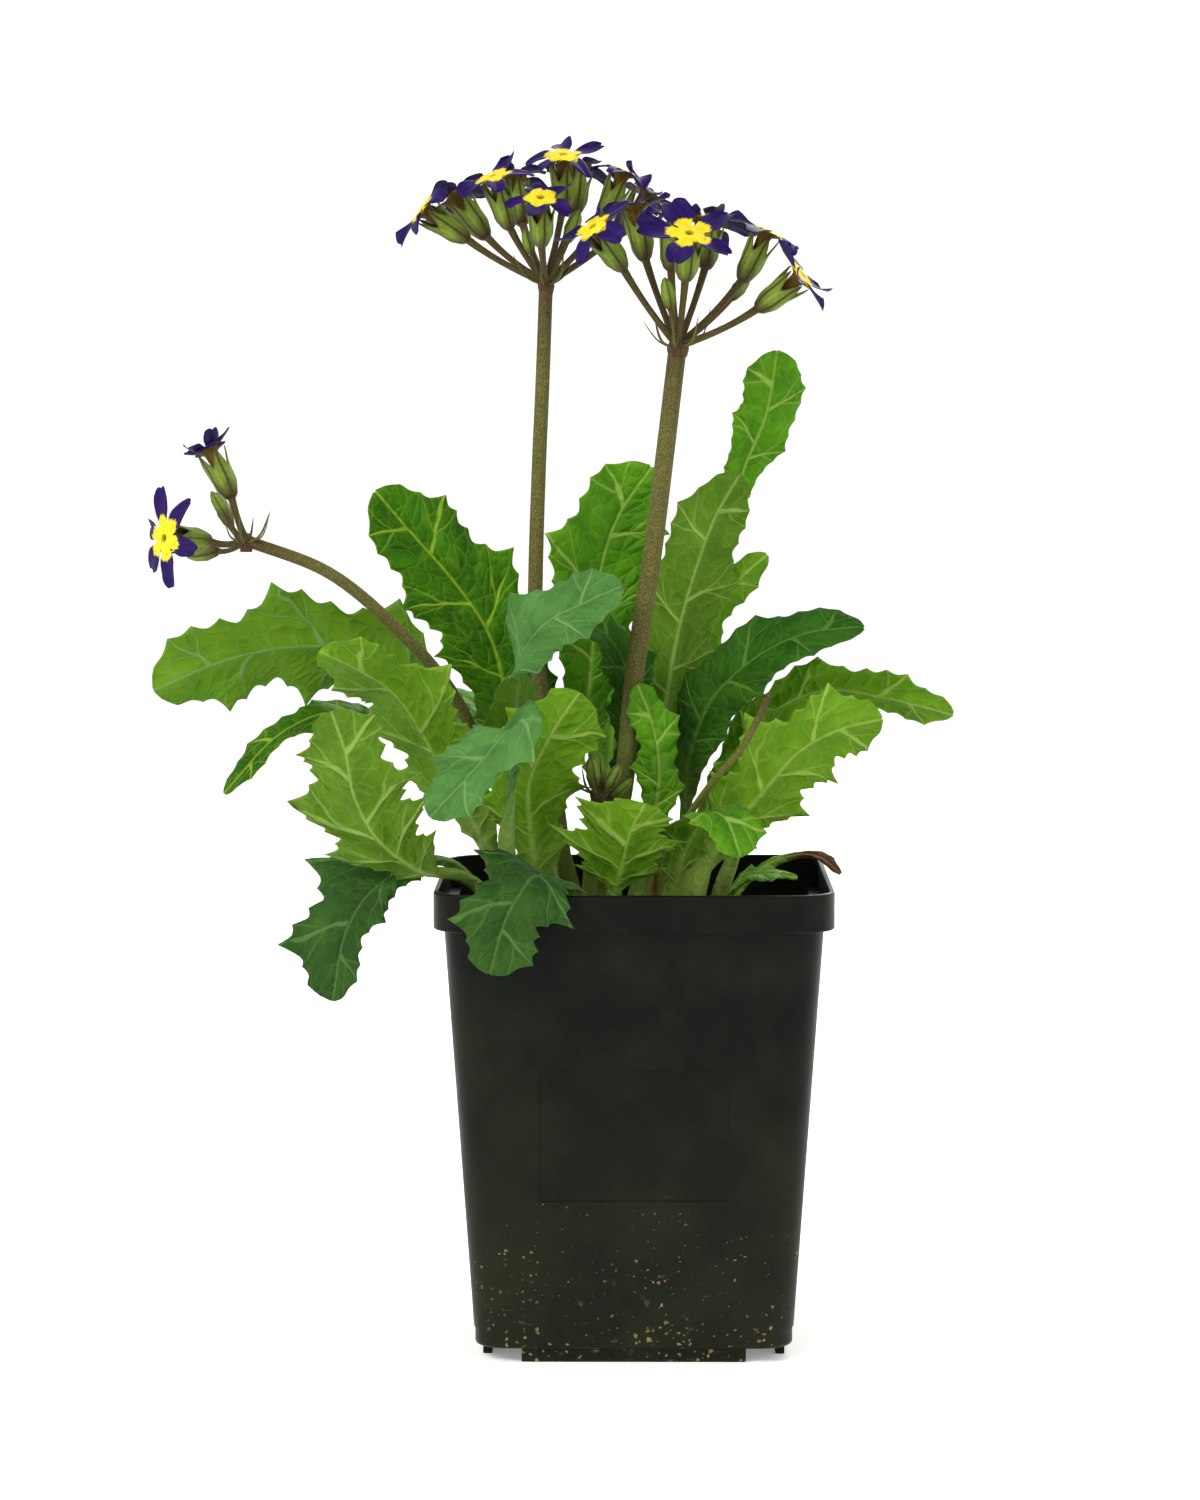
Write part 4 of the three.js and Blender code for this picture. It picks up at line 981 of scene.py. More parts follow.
def calyx_finish():
    material, tree, shader = new_material("primrose calyx, ribbed")
    turn, high, _ = mark(tree, "stalk")
    ribs = add(tree, "Math", turn, operation="FRACT")
    aside = add(tree, "Math", ribs, 0.5, operation="SUBTRACT")
    off = add(tree, "Math", aside, operation="ABSOLUTE")
    rib = add(tree, "MapRange", off, 0.36, 0.48)
    seam = add(tree, "MapRange", off, 0.02, 0.14, 1, 0)
    down = add(tree, "TexNoise", own_place(tree), 1 / (1.1 * MM), 3)
    green = add(tree, "Mix", down, "#46590e", "#788a26", data_type="RGBA")
    seamed = add(tree, "Mix", seam, green, "#2f2b14", data_type="RGBA")
    ribbed = add(tree, "Mix", rib, seamed, "#6f8738", data_type="RGBA")
    # The brown foot is the calyx's own colour outside. Inside the cup the same brown deepens towards the
    # floor as painted shade.
    foot = add(tree, "MapRange", high, 0.02, 0.5, 0.95, 0)
    foot_and_cup_shade = add(tree, "Mix", foot, ribbed, "#351c14", data_type="RGBA")
    tip = add(tree, "MapRange", high, 0.84, 1, 0, 0.7)
    tipped = add(tree, "Mix", tip, foot_and_cup_shade, "#45331f", data_type="RGBA")
    bump = add(tree, "Bump", Strength=0.4, Distance=0.25 * MM, Height=down)
    rough = add(tree, "MapRange", down, 0, 1, 0.5, 0.66)
    feed(shader, {
        "Base Color": tipped, "Normal": bump, "Roughness": rough, "Specular IOR Level": 0.2,
        "Sheen Weight": 0.06, "Sheen Tint": "#cfd8ae",
    })
    return material


STEM = stem_finish()
CALYX = calyx_finish()
print("finishes:", STEM.name, "and", CALYX.name)

# %% [markdown]
# A flower stem is a tapering rod that ends in a knot. From it fan the stalks of the flowers, each
# swollen where it meets its calyx, with narrow bracts below. An open calyx is a ribbed cup with five
# teeth that lean outwards, and a bud is the same cup closed over the folded flower.

# %% The shape of a flower stem
STEM_SIDES = 20
STEM_ROW_MM = 3
STALK_RADIUS = 1.15
STALK_SIDES = 12
STALK_ROWS = 16
CALYX_SIDES = 40
CALYX_ROWS = 16
CALYX_TEETH = 5
CALYX_RADIUS = 3.5
CALYX_LENGTH = 14.4
CALYX_CUT = 8.8
CALYX_FLOOR = 3.6
THROAT_RADIUS = 2
BRACTS = 6
BRACT_LENGTH = 12
STEM_FINISH = 0
CALYX_FINISH = 1


def add_rod(parts, path, rows, sides, radius_at, high, finish=STEM_FINISH, squash=1):
    share = np.linspace(0, 1, rows)
    centre, along = path.at(share)
    side = np.array([0.3, 1, 0.1])
    rings, marks = [], []
    turn = np.linspace(0, 2 * math.pi, sides, endpoint=False)
    for place, way, part in zip(centre, along, share):
        side = unit(side - way * side.dot(way))
        across = np.cross(way, side)
        radius = radius_at(part) * (1 + 0.03 * np.cos(5 * turn))
        out, over = radius * np.cos(turn), radius * squash * np.sin(turn)
        rings.append(place + np.outer(out, side) + np.outer(over, across))
        level = high(part) if callable(high) else high
        marks.append(np.stack([np.sin(turn) * 2, turn * 0 + part * path.length, turn * 0 + level], -1))
    parts.add_rings(rings, finish, stalk=marks)


def calyx_ring(turn):
    """How near each point of a ring is to a rib: 1 on a rib, 0 halfway between two."""
    return 0.5 + 0.5 * np.cos(CALYX_TEETH * turn)


def add_calyx(parts, axes, size=1, closed=False):
    turn = np.linspace(0, 2 * math.pi, CALYX_SIDES, endpoint=False)
    rib = calyx_ring(turn)
    ribs_passed = CALYX_TEETH * turn / (2 * math.pi) + 0.5
    tooth = 1 - np.abs(2 * (ribs_passed % 1) - 1)
    top = CALYX_CUT + (CALYX_LENGTH - CALYX_CUT) * tooth**1.2
    rings, marks = [], []
    rows = np.linspace(0, 1, CALYX_ROWS)
    for part in rows:
        if closed:
            belly = np.interp(part, [0, 0.1, 0.4, 0.75, 0.93, 1], [1.1, 2.1, 3.1, 2.5, 1.2, 0.25])
            height = -0.3 + part * (CALYX_LENGTH + 0.3)
            radius = belly * (1 - 0.12 * (1 - rib))
        else:
            wide = (1.3, 2.2, CALYX_RADIUS, CALYX_RADIUS, CALYX_RADIUS + 0.1)
            belly = np.interp(part, [0, 0.08, 0.35, 0.7, 1], wide)
            height = -0.3 + part * (top + 0.3)
            groove = 0.1 * (1 - rib) * np.sin(math.pi * min(1, part + 0.15))
            radius = belly * (1 - groove) + 0.9 * part**6 * tooth
        rings.append(placed(axes, radius * size, height * size, turn))
        marks.append(np.stack([ribs_passed, turn * 0 + part, rib], -1))
    if not closed:
        for part in (1, 0.5, 0):
            height = CALYX_FLOOR + part * (top - 0.15 - CALYX_FLOOR)
            inner = np.interp(part, [0, 1], [THROAT_RADIUS, CALYX_RADIUS - 0.25])
            radius = inner + 0.9 * part**6 * tooth
            rings.append(placed(axes, radius * size, height * size, turn))
            # Inside the cup the mark falls to 0 at the floor, where the finish paints it dark brown as
            # shade.
            marks.append(np.stack([ribs_passed, turn * 0 + 0.6 * part, rib], -1))
    parts.add_rings(rings, CALYX_FINISH, stalk=marks)


def add_bract(parts, top, turn, radius, chance):
    long = BRACT_LENGTH * (0.75 + 0.5 * chance.draw())
    lift = 0.7 + 1.1 * chance.draw()
    way = np.array([math.cos(turn), math.sin(turn), 0])
    up = np.array([0, 0, 1.0])
    foot = top + way * radius * 0.5 - up * 0.6
    end = foot + long * unit(way + lift * up)
    points = [foot, foot + long * (0.36 * way + 0.16 * up), end]
    add_rod(parts, Path(points), 10, 8, lambda part: 0.8 * (1 - part) ** 0.7 + 0.05, 0.55, squash=0.4)


def stalk_radius(size, part):
    return STALK_RADIUS * size * (1.05 - 0.25 * math.sin(math.pi * part))


def knot_radius(stem_radius, part):
    return stem_radius * (0.95 + 0.24 * math.sin(math.pi * part) ** 2 - 0.35 * part**3)


def make_stem(name, scape, chance):
    path = standing(scape["foot"], scape["path"])
    top = np.array(scape["path"][-1], float)
    parts = Parts("stalk")
    rows = max(12, round(path.length / STEM_ROW_MM))
    heads = [*scape["flowers"], *scape["buds"]]
    high = scape.get("high", lambda part: 0.85 * np.clip((part - 0.86) / 0.14, 0, 1))
    add_rod(parts, path, rows, STEM_SIDES, lambda part: scape["radius"] * (1.06 - 0.12 * part), high)
    for head in heads:
        size = head.get("size", 1)
        axes = flower_axes(head)
        foot, under = placed(axes, 0, 0.9, 0), axes[0]
        middle = top + 0.55 * (under - top) - np.array([0, 0, 2.2])
        share = np.linspace(0, 1, 7)[:, None]
        bow = top * (1 - share) ** 2 + 2 * middle * share * (1 - share) + foot * share**2
        add_rod(parts, Path(bow), STALK_ROWS, STALK_SIDES, partial(stalk_radius, size), 0.9)
        add_calyx(parts, axes, size, closed="size" in head)
    if heads:
        knot = Path([top + (0, 0, -3.2), top + (0, 0, -1.4), top + (0, 0, 0.4), top + (0, 0, 2)])
        add_rod(parts, knot, 12, STEM_SIDES, partial(knot_radius, scape["radius"]), 1)
        for k in range(BRACTS):
            add_bract(parts, top, 2 * math.pi * (k + 0.3) / BRACTS, scape["radius"], chance)
    return parts.piece(name, STEM, CALYX)

# %% [markdown]
# The stems, flowers and buds stand where the solids have them. A head is given by the foot of its calyx
# and the way it looks.

# %% The flower stems and their flowers
SCAPES = {
    "scape_middle": dict(
        foot=(-18, 3),
        path=((-22, 4, 151), (-28, 5, 196), (-28, 6, 215), (-27, 7, 247), (-26, 8, 270), (-25, 9, 298)),
        radius=2.1,
        flowers=(
            dict(calyx=(-47, 7, 310), face=(-12, -2, 8)),
            dict(calyx=(-42, 17, 311), face=(-9, 5, 12)),
            dict(calyx=(-32, 24, 315), face=(-3, 8, 14)),
            dict(calyx=(-35, 1, 313), face=(-4, -4, 13)),
            dict(calyx=(-26, -4, 308), face=(0, -8, 12), reach=10.5),
            dict(calyx=(-20, 8, 319), face=(0, -6, 15)),
            dict(calyx=(-17, 22, 318), face=(1, 8, 14), reach=10.5),
            dict(calyx=(-9, 9, 315), face=(6, 0, 14), reach=9.5),
            dict(calyx=(-5, 20, 312), face=(9, 4, 12), reach=10.5),
        ),
        buds=(
            dict(calyx=(-29, 3, 306), face=(-1, -3, 4), size=0.6),
            dict(calyx=(-19, 0, 309), face=(2, -3, 5), size=0.75),
        ),
    ),
    "scape_right": dict(
        foot=(-10, -7),
        path=((-6, -8, 141), (-3, -8, 157), (0, -9, 188), (5, -10, 222), (8, -12, 246), (12, -14, 280)),
        radius=2.7,
        flowers=(
            dict(calyx=(-3, -18, 301), face=(-8, -6, 11)),
            dict(calyx=(3, -4, 304), face=(-3, 3, 15), reach=10.5),
            dict(calyx=(10, -12, 301), face=(1, -1, 16), reach=8.5),
            dict(calyx=(14, -23, 298), face=(1, -9, 12), reach=14.5),
            dict(calyx=(20, 1, 302), face=(1, 9, 13)),
            dict(calyx=(30, -8, 298), face=(6, 0, 12)),
            dict(calyx=(34, -20, 290), face=(12, -3, 9)),
        ),
        buds=(
            dict(calyx=(10, -20, 290), face=(-1, -3, 5), size=0.7),
            dict(calyx=(27, -3, 293), face=(3, 3, 4), size=0.7),
        ),
    ),
    "scape_left": dict(
        foot=(-28, 3),
        path=(
            (-30, 0, 136), (-41, -4, 161), (-51, -9, 183), (-66, -13, 201), (-85, -16, 217),
            (-108, -16, 226),
        ),
        radius=1.75,
        flowers=(
            dict(calyx=(-118, -18, 226), face=(-11, -10, 1), reach=14, petals=6),
            dict(calyx=(-112, -14, 238), face=(-6, 3, 12), reach=8, lift=3),
        ),
        buds=(
            dict(calyx=(-113, -11, 230), face=(-5, 5, 11), size=0.75),
            dict(calyx=(-113, -21, 233), face=(-5, -5, 9), size=0.6),
            dict(calyx=(-116, -11, 223), face=(-11, 5, -2), size=0.75),
        ),
    ),
    "scape_old": dict(
        foot=(7, -7),
        path=((9, -13, 138), (16, -22, 151), (22, -28, 160), (30, -33, 170), (37, -35, 184)),
        radius=1,
        flowers=(),
        buds=(),
    ),
    "scape_young": dict(
        foot=(-13, -17),
        path=((-12, -18, 136), (-11, -18, 147), (-10, -18, 156)),
        radius=2.1,
        flowers=(),
        buds=(
            dict(calyx=(-11, -20, 157), face=(-1, -3, 9), size=0.7),
            dict(calyx=(-8, -19, 156), face=(4, -2, 8), size=0.65),
            dict(calyx=(-10, -16, 157), face=(0, 4, 9), size=0.7),
            dict(calyx=(-7, -17, 154), face=(8, 0, 7), size=0.6),
        ),
    ),
}

flower_chance = Chance(FLOWER_SEED)
bract_chance = Chance(77)
stems = {}
for name, scape in SCAPES.items():
    stems[name] = make_stem(name.replace("scape", "stem"), scape, bract_chance)
    seat(stems[name], "stem", name)
    for number, head in enumerate(scape["flowers"], 1):
        node = name.replace("scape", "corolla") + "_" + str(number)
        flower = make_flower(node.replace("corolla", "flower"), head, flower_chance)
        seat(flower, "petal", node)
print("stems:", len(stems), "points in the largest:", max(len(s.data.vertices) for s in stems.values()))

# %% [markdown]
# The down on the stems is thousands of short hairs. Geometry Nodes scatter points over a stem's own
# faces, set a three-sided spike on each, turned along the face's normal, and make the copies real, as
# an exported model keeps no instances. The result is turned into a plain mesh.

# %% Hairs by Geometry Nodes
HAIR_LENGTH = 0.6
HAIR_RADIUS = 0.035
HAIRS_PER_MM2 = 1.1


def scatter_tree(name, upright):
    """A tree that sets copies of an object on a surface; `upright` turns them along its normals."""
    tree = bpy.data.node_groups.new(name, "GeometryNodeTree")
    sockets = (
        ("Geometry", "NodeSocketGeometry", None),
        ("Copy", "NodeSocketObject", None),
        ("Density per m2", "NodeSocketFloat", 1000),
        ("Smallest", "NodeSocketFloat", 0.5),
        ("Largest", "NodeSocketFloat", 1),
        ("Seed", "NodeSocketInt", 1),
        ("Finish", "NodeSocketMaterial", None),
    )
    for label, kind, start in sockets:
        socket = tree.interface.new_socket(label, in_out="INPUT", socket_type=kind)
        if start is not None:
            socket.default_value = start
    tree.interface.new_socket("Geometry", in_out="OUTPUT", socket_type="NodeSocketGeometry")
    kinds = dict(
        given="NodeGroupInput",
        spread="GeometryNodeDistributePointsOnFaces",
        copy="GeometryNodeObjectInfo",
        place="GeometryNodeInstanceOnPoints",
        size="FunctionNodeRandomValue",
        turn="FunctionNodeRandomValue",
        spin="GeometryNodeRotateInstances",
        real="GeometryNodeRealizeInstances",
        finish="GeometryNodeSetMaterial",
        out="NodeGroupOutput",
    )
    made = {name: tree.nodes.new(kind) for name, kind in kinds.items()}
    made["turn"].data_type = "FLOAT_VECTOR"
    made["turn"].inputs[1].default_value = (0.5, 0.5, 2 * math.pi) if upright else (2 * math.pi,) * 3
    links = [
        ("given", "Geometry", "spread", "Mesh"),
        ("given", "Density per m2", "spread", "Density"),
        ("given", "Seed", "spread", "Seed"),
        ("given", "Copy", "copy", "Object"),
        ("given", "Smallest", "size", 2),
        ("given", "Largest", "size", 3),
        ("given", "Seed", "size", "Seed"),
        ("given", "Seed", "turn", "Seed"),
        ("spread", "Points", "place", "Points"),
        ("copy", "Geometry", "place", "Instance"),
        ("size", 1, "place", "Scale"),
        ("place", "Instances", "spin", "Instances"),
        ("turn", 0, "spin", "Rotation"),
        ("spin", "Instances", "real", "Geometry"),
        ("real", "Geometry", "finish", "Geometry"),
        ("given", "Finish", "finish", "Material"),
        ("finish", "Geometry", "out", "Geometry"),
    ]
    if upright:
        links.append(("spread", "Rotation", "place", "Rotation"))
    for start, outlet, end, inlet in links:
        tree.links.new(made[start].outputs[outlet], made[end].inputs[inlet])
    return tree


def scatter(tree, name, ground, **settings):
    """Runs the tree on `ground` and keeps what it makes as a plain mesh of its own."""
    modifier = ground.modifiers.new("scatter", "NODES")
    modifier.node_group = tree
    inputs = (item for item in tree.interface.items_tree if item.in_out == "INPUT")
    labels = {item.name: item.identifier for item in inputs}
    for label, value in settings.items():
        modifier[labels[label.replace("_", " ")]] = value
    evaluated = ground.evaluated_get(bpy.context.evaluated_depsgraph_get())
    mesh = bpy.data.meshes.new_from_object(evaluated)
    ground.modifiers.remove(modifier)
    mesh.name = name
    made = bpy.data.objects.new(name, mesh)
    bpy.context.scene.collection.objects.link(made)
    return made


def hair_finish():
    material, tree, shader = new_material("primrose down")
    patches = add(tree, "TexNoise", own_place(tree), 1 / (4 * MM))
    shade = add(tree, "Mix", patches, "#5c5820", "#827d42", data_type="RGBA")
    feed(shader, {"Base Color": shade, "Roughness": 0.6, "Sheen Weight": 0.1})
    return material


def make_spike():
    turn = [2 * math.pi * k / 3 for k in range(3)]
    ring = [(HAIR_RADIUS * math.cos(a), HAIR_RADIUS * math.sin(a), -0.1) for a in turn]
    parts = Parts()
    parts.add([*ring, (0, 0, HAIR_LENGTH)], [[0, 1, 3], [1, 2, 3], [2, 0, 3], [2, 1, 0]])
    return parts.piece("spike")


DOWN = hair_finish()
spike = make_spike()
hair_tree = scatter_tree("hairs on a stem", upright=True)
for name, stem in stems.items():
    hairs = scatter(
        hair_tree,
        name.replace("scape", "hairs"),
        stem,
        Copy=spike,
        Density_per_m2=HAIRS_PER_MM2 / MM**2,
        Smallest=0.4,
        Largest=1.0,
        Seed=5,
        Finish=DOWN,
    )
    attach(hairs, "root")
    print(hairs.name, "faces:", len(hairs.data.polygons))
bpy.data.objects.remove(spike)

# %% [markdown]
# The pot is a thin moulding of black polypropylene: a rounded square that widens upwards, a turned-out
# band at the rim, four foot tabs and holes to drain. The corners are arcs, and the edges have the small
# radius that a mould gives. The walls are rings of a rounded square, and Boolean modifiers then cut the
# drain holes and the shallow panel, because those don't follow the rings.

# %% The shape of the pot
POT_HEIGHT = 131
FOOT_HEIGHT = 4
FLOOR_TOP = 5.6
WALL = 1.4
HALF_AT_FLOOR = 44
HALF_UNDER_RIM = 52.1
HALF_AT_RIM = 55
RIM_HEIGHT = 10.4
CORNER_AT_FLOOR = 9
CORNER_AT_RIM = 13
FOOT_WIDTH = 62
FOOT_THICK = 2.6
BOSS_RADIUS = 10
DRAIN_RADIUS = 5
DRAIN_OFFSET = 31
PANEL = dict(width=52, low=45.7, high=82.5, depth=0.6)
POINTS_PER_CORNER = 14
EDGE_RADIUS = 0.6
STEP_HEIGHT = 9
STEP_DEPTH = 0.35

rim_foot = POT_HEIGHT - RIM_HEIGHT
draft = math.atan2(HALF_UNDER_RIM - HALF_AT_FLOOR, rim_foot - FOOT_HEIGHT)


def wall_half(z):
    return HALF_AT_FLOOR + (z - FOOT_HEIGHT) * math.tan(draft)


def wall_corner(z):
    return np.interp(z, [FOOT_HEIGHT, rim_foot], [CORNER_AT_FLOOR, CORNER_AT_RIM - 2])


def rounded_square(half, corner, z):
    ring = []
    for quarter in range(4):
        middle = math.pi / 4 + math.pi / 2 * quarter
        x = math.copysign(half - corner, math.cos(middle))
        y = math.copysign(half - corner, math.sin(middle))
        for k in range(POINTS_PER_CORNER):
            turn = math.pi / 2 * (quarter + k / (POINTS_PER_CORNER - 1))
            ring.append((x + corner * math.cos(turn), y + corner * math.sin(turn), z))
    return ring


def rounded_edge(half, corner, z, start, end, radius=EDGE_RADIUS, steps=4):
    """Rings round a small edge whose arc's middle lies at `half` and `z`."""
    rings = []
    for turn in np.linspace(math.radians(start), math.radians(end), steps + 1):
        out = radius * math.cos(turn)
        rings.append(rounded_square(half + out, corner + out, z + radius * math.sin(turn)))
    return rings


def wall_ring(z, inset=0, height=None):
    """A ring `inset` inside the wall's outer face at `z`, laid at that height or at another."""
    return rounded_square(wall_half(z) - inset, wall_corner(z) - inset, z if height is None else height)


def pot_walls():
    inner = HALF_AT_RIM - WALL
    ledge = rim_foot + WALL
    rim_corner = CORNER_AT_RIM - EDGE_RADIUS
    return [
        rounded_square(HALF_AT_FLOOR - 3, CORNER_AT_FLOOR - 3, FOOT_HEIGHT),
        *rounded_edge(HALF_AT_FLOOR - 1.2, CORNER_AT_FLOOR - 1.2, FOOT_HEIGHT + 1.2, -90, 0, 1.2, 5),
        wall_ring(STEP_HEIGHT, STEP_DEPTH, STEP_HEIGHT - 0.3),
        wall_ring(STEP_HEIGHT, 0, STEP_HEIGHT + 0.1),
        *(wall_ring(z) for z in np.linspace(STEP_HEIGHT + 2, rim_foot - 0.5, 16)),
        rounded_square(HALF_UNDER_RIM + 0.1, CORNER_AT_RIM - 2, rim_foot),
        *rounded_edge(HALF_AT_RIM - EDGE_RADIUS, rim_corner, rim_foot + EDGE_RADIUS, -90, 0),
        *rounded_edge(HALF_AT_RIM - EDGE_RADIUS, rim_corner, POT_HEIGHT - EDGE_RADIUS, 0, 90),
        *rounded_edge(inner + 0.3, CORNER_AT_RIM - WALL + 0.3, POT_HEIGHT - 0.3, 90, 180, 0.3, 3),
        rounded_square(inner, CORNER_AT_RIM - WALL, ledge + 0.2),
        wall_ring(rim_foot, WALL, ledge),
        wall_ring(rim_foot, WALL, rim_foot - 1),
        wall_ring(FLOOR_TOP, WALL, FLOOR_TOP + 1),
        wall_ring(FLOOR_TOP, WALL + 1),
    ]


def solid_box(name, size, middle, tilt=0, turn=0, edge=0.0):
    """A box in mm, tilted about X and turned about Z, with its edges rounded."""
    shape = bmesh.new()
    bmesh.ops.create_cube(shape, size=1)
    bmesh.ops.scale(shape, vec=[v * MM for v in size], verts=shape.verts)
    if edge:
        edges = shape.edges[:]
        bmesh.ops.bevel(shape, geom=edges, offset=edge * MM, segments=3, affect="EDGES", profile=0.5)
    bmesh.ops.rotate(shape, matrix=Matrix.Rotation(tilt, 3, "X"), verts=shape.verts)
    bmesh.ops.translate(shape, vec=[v * MM for v in middle], verts=shape.verts)
    bmesh.ops.rotate(shape, matrix=Matrix.Rotation(turn, 3, "Z"), verts=shape.verts)
    return link_shape(name, shape)


def solid_round(name, radius, low, high, middle=(0, 0), sides=48):
    shape = bmesh.new()
    wide, long = radius * MM, (high - low) * MM
    bmesh.ops.create_cone(
        shape, cap_ends=True, segments=sides, radius1=wide, radius2=wide, depth=long
    )
    place = (middle[0] * MM, middle[1] * MM, (low + high) / 2 * MM)
    bmesh.ops.translate(shape, vec=place, verts=shape.verts)
    return link_shape(name, shape)


def link_shape(name, shape):
    mesh = bpy.data.meshes.new(name)
    shape.to_mesh(mesh)
    shape.free()
    made = bpy.data.objects.new(name, mesh)
    bpy.context.scene.collection.objects.link(made)
    return made


def joined_or_cut(piece, tools):
    """Applies a Boolean modifier for each tool, which is a pair of an operation and an object."""
    for operation, tool in tools:
        modifier = piece.modifiers.new(tool.name, "BOOLEAN")
        modifier.operation, modifier.object, modifier.solver = operation, tool, "EXACT"
    bpy.context.view_layer.update()
    mesh = bpy.data.meshes.new_from_object(piece.evaluated_get(bpy.context.evaluated_depsgraph_get()))
    piece.modifiers.clear()
    piece.data = mesh
    for _, tool in tools:
        bpy.data.objects.remove(tool)


def make_pot():
    parts = Parts()
    parts.add_rings(pot_walls())
    pot = parts.piece("nursery_pot")
    tools = []
    for quarter in range(4):
        turn = math.pi / 2 * quarter
        middle = (0, -(HALF_AT_FLOOR - 2 - FOOT_THICK / 2), (FOOT_HEIGHT + 0.8) / 2)
        size = (FOOT_WIDTH, FOOT_THICK, FOOT_HEIGHT + 0.8)
        tools.append(("UNION", solid_box(f"tab{quarter}", size, middle, turn=turn, edge=0.35)))
        place = [math.copysign(DRAIN_OFFSET, way(turn + 0.7)) for way in (math.cos, math.sin)]
        drain = solid_round(f"drain{quarter}", DRAIN_RADIUS, -1, FLOOR_TOP + 1, place)
        tools.append(("DIFFERENCE", drain))
    tools.append(("UNION", solid_round("boss", BOSS_RADIUS, 0, FOOT_HEIGHT + 0.6)))
    middle = (PANEL["low"] + PANEL["high"]) / 2
    size = (PANEL["width"], 2 * PANEL["depth"], (PANEL["high"] - PANEL["low"]) / math.cos(draft))
    panel = solid_box("panel", size, (0, -wall_half(middle), middle), tilt=draft)
    tools.append(("DIFFERENCE", panel))
    joined_or_cut(pot, tools)
    bevel = pot.modifiers.new("mould radius", "BEVEL")
    bevel.width, bevel.segments, bevel.limit_method = 0.18 * MM, 2, "ANGLE"
    bevel.angle_limit = math.radians(50)
    normals = pot.modifiers.new("flat faces stay flat", "WEIGHTED_NORMAL")
    normals.keep_sharp = True
    joined_or_cut(pot, [])
    pot.data.polygons.foreach_set("use_smooth", [True] * len(pot.data.polygons))
    return pot


pot = make_pot()
print("pot faces:", len(pot.data.polygons))

# %% [markdown]
# The plastic is black with a satin skin, and it has stood in a nursery. A thin film of dust greys it,
# thicker low down, fine soil specks stick to its lower half, and some have run into short smears. Each
# is a pattern over the object's own coordinates whose share grows towards the foot.

# %% The pot's finish
SPECK_CELL_MM = 1.7
WARP_MM = 1.3
SMEAR_MM = 4
DUST_MM = 26


def pot_finish():
    material, tree, shader = new_material("polypropylene, black, satin, dusty")
    spots = own_place(tree)
    height = add(tree, "SeparateXYZ", spots).node.outputs[2]
    low = add(tree, "MapRange", height, 96 * MM, 4 * MM, 0, 1)
    dust = add(tree, "TexNoise", spots, 1 / (DUST_MM * MM), 6, 0.62)
    film = add(tree, "MapRange", dust, 0.42, 0.8, 0.0, 0.24)
    lowered = add(tree, "Math", low, 0.16, film, operation="MULTIPLY_ADD")
    ground = add(tree, "Mix", lowered, "#040603", "#303820", data_type="RGBA")

    # Specks: the middles of cells in warped space, each cell with its own lot
    warp = add(tree, "TexNoise", spots, 1 / (WARP_MM * MM), 3)
    strength = (1.4 * WARP_MM * MM,) * 3
    warped = add(
        tree, "VectorMath", warp.node.outputs["Color"], strength, spots, operation="MULTIPLY_ADD"
    )
    specks = add(tree, "TexVoronoi", warped, 1 / (SPECK_CELL_MM * MM))
    size_lot, tint_lot, _ = add(tree, "SeparateXYZ", specks.node.outputs["Color"]).node.outputs
    clumps = add(tree, "TexNoise", spots, 1 / (14 * MM), 3)
    wanted = add(tree, "Math", clumps, low, operation="MULTIPLY")
    room = add(tree, "MapRange", wanted, 0.2, 0.6, 0, 0.4)
    size = add(tree, "Math", room, size_lot, operation="MULTIPLY")
    edge = add(tree, "Math", specks, size, operation="LESS_THAN")

    stretched = add(tree, "Mapping", Vector=spots, Scale=(1, 1, 1.5))
    smears = add(tree, "TexNoise", stretched, 1 / (SMEAR_MM * MM), 5, 0.7)
    cut = add(tree, "MapRange", low, 0, 1, 0.78, 0.6)
    smear = add(tree, "Math", smears, cut, operation="SUBTRACT")
    smeared = add(tree, "MapRange", smear, 0, 0.08, 0, 0.5)
    soil_share = add(tree, "Math", smeared, edge, operation="MAXIMUM")
    soil = add(tree, "Mix", tint_lot, "#40351f", "#85744e", data_type="RGBA")
    dirty = add(tree, "Mix", soil_share, ground, soil, data_type="RGBA")

    satin = add(tree, "MapRange", dust, 0.3, 0.8, 0.3, 0.55)
    dry = add(tree, "Mix", soil_share, satin, 0.9)
    ripple = add(tree, "TexNoise", spots, 1 / (60 * MM), 2)
    raised = add(tree, "Math", soil_share, 0.3, ripple, operation="MULTIPLY_ADD")
    bump = add(tree, "Bump", Strength=0.5, Distance=0.6 * MM, Height=raised)
    feed(shader, {
        "Base Color": dirty, "Roughness": dry, "Normal": bump, "IOR": 1.49, "Specular IOR Level": 0.1,
    })
    return material


pot.data.materials.append(pot_finish())
seat(pot, "pot_plastic", "pot")

# %% [markdown]
# Compost is dark, fibrous and crumbly. A plug fills the pot up to the holes of the stalks, its top a
# little uneven, and crumbs lie over it. The crumbs are copies of one rough lump, scattered and turned at
# random by the same kind of tree as the hairs.

# %% The compost
SOIL_CRUMB = 1.3
SOIL_RINGS = 44
CRUMB_RADIUS = 1.1
CRUMBS_PER_MM2 = 0.32


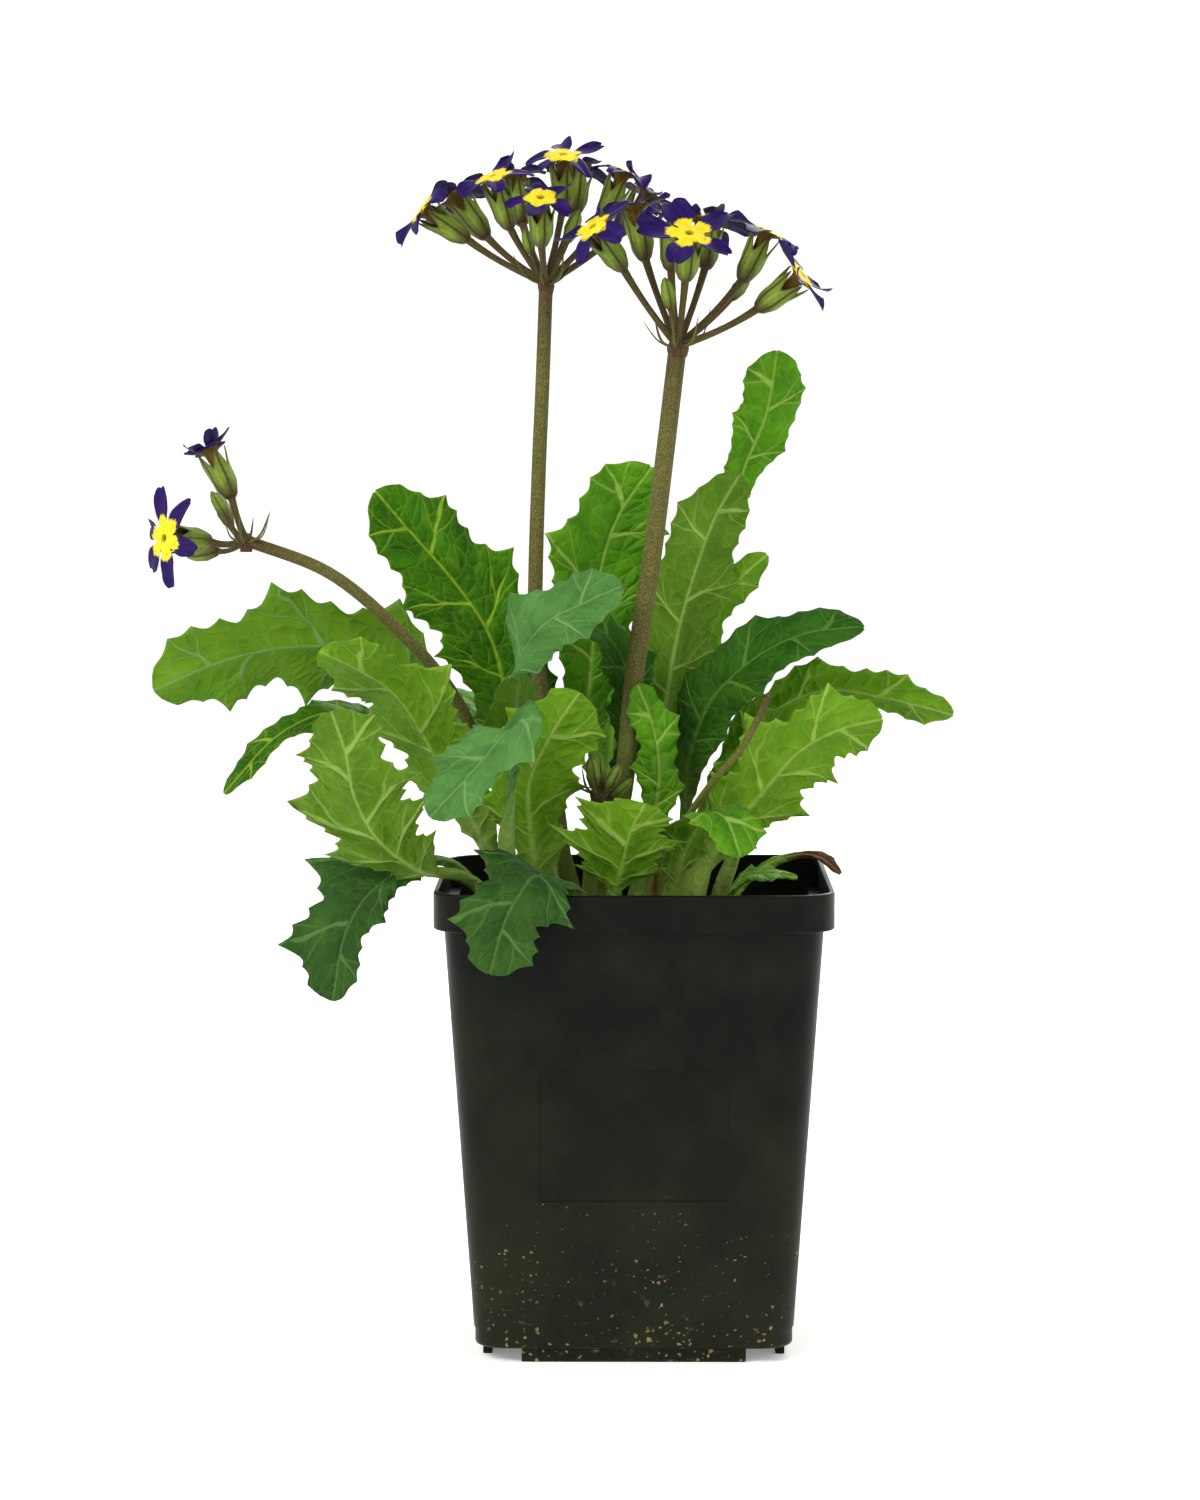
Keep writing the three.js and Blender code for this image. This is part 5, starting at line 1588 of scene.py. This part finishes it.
def soil_finish():
    material, tree, shader = new_material("peat compost, damp")
    spots = own_place(tree)
    clods = add(tree, "TexNoise", spots, 1 / (3 * MM), 6, 0.7)
    grains = add(tree, "TexVoronoi", spots, 1 / (0.8 * MM))
    dark = add(tree, "Mix", clods, "#1a120c", "#4a3826", data_type="RGBA")
    grit = add(tree, "MapRange", grains, 0.1, 0.5, 0.35, 0)
    shade = add(tree, "Mix", grit, dark, "#6d5a42", data_type="RGBA")
    rough = add(tree, "MapRange", clods, 0, 1, 0.8, 1)
    bump = add(tree, "Bump", Strength=0.8, Distance=0.8 * MM, Height=clods)
    feed(shader, {"Base Color": shade, "Roughness": rough, "Normal": bump})
    return material


def make_soil(chance):
    low = FLOOR_TOP + GAP
    half, corner = wall_half(SOIL_TOP) - WALL - GAP, wall_corner(SOIL_TOP) - WALL
    shoulder = SOIL_TOP - 3
    rings = [
        rounded_square(wall_half(low) - WALL - 1.4, wall_corner(low) - WALL, low),
        rounded_square(wall_half(shoulder) - WALL - GAP, wall_corner(shoulder) - WALL, shoulder),
    ]
    for share in np.linspace(0.985, 0.02, SOIL_RINGS):
        ring = np.array(rounded_square(half * share, corner * share, SOIL_TOP))
        for point in ring:
            point[2] += SOIL_CRUMB * (2 * chance.draw() - 1) * 0.8
        rings.append(ring)
    parts = Parts()
    parts.add_rings(rings)
    return parts.piece("compost")


def make_lump(chance):
    shape = bmesh.new()
    bmesh.ops.create_icosphere(shape, subdivisions=1, radius=CRUMB_RADIUS * MM)
    for corner in shape.verts:
        corner.co *= 0.7 + 0.6 * chance.draw()
    return link_shape("lump", shape)


PEAT = soil_finish()
soil_chance = Chance(31)
compost = make_soil(soil_chance)
compost.data.materials.append(PEAT)
lump = make_lump(soil_chance)
top_only = bmesh.new()
top_only.from_mesh(compost.data)
under = [face for face in top_only.faces if face.calc_center_median().z < (SOIL_TOP - 2) * MM]
bmesh.ops.delete(top_only, geom=under, context="FACES")
ground = link_shape("compost_top", top_only)
crumbs = scatter(
    scatter_tree("crumbs on the compost", upright=False),
    "compost_crumbs",
    ground,
    Copy=lump,
    Density_per_m2=CRUMBS_PER_MM2 / MM**2,
    Smallest=0.25,
    Largest=1.2,
    Seed=9,
    Finish=PEAT,
)
for spare in (lump, ground):
    bpy.data.objects.remove(spare)
seat(compost, "compost", "soil")
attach(crumbs, "root")
print("crumb faces:", len(crumbs.data.polygons))

# %% Sizes and the end
shown_low, shown_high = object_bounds()
sizes = {"cad": [list(cad_low), list(cad_high)], "visual": [list(shown_low), list(shown_high)]}
for label, (low, high) in sizes.items():
    print(label, "box in mm:", [round(v / MM, 1) for v in (*low, *high)])
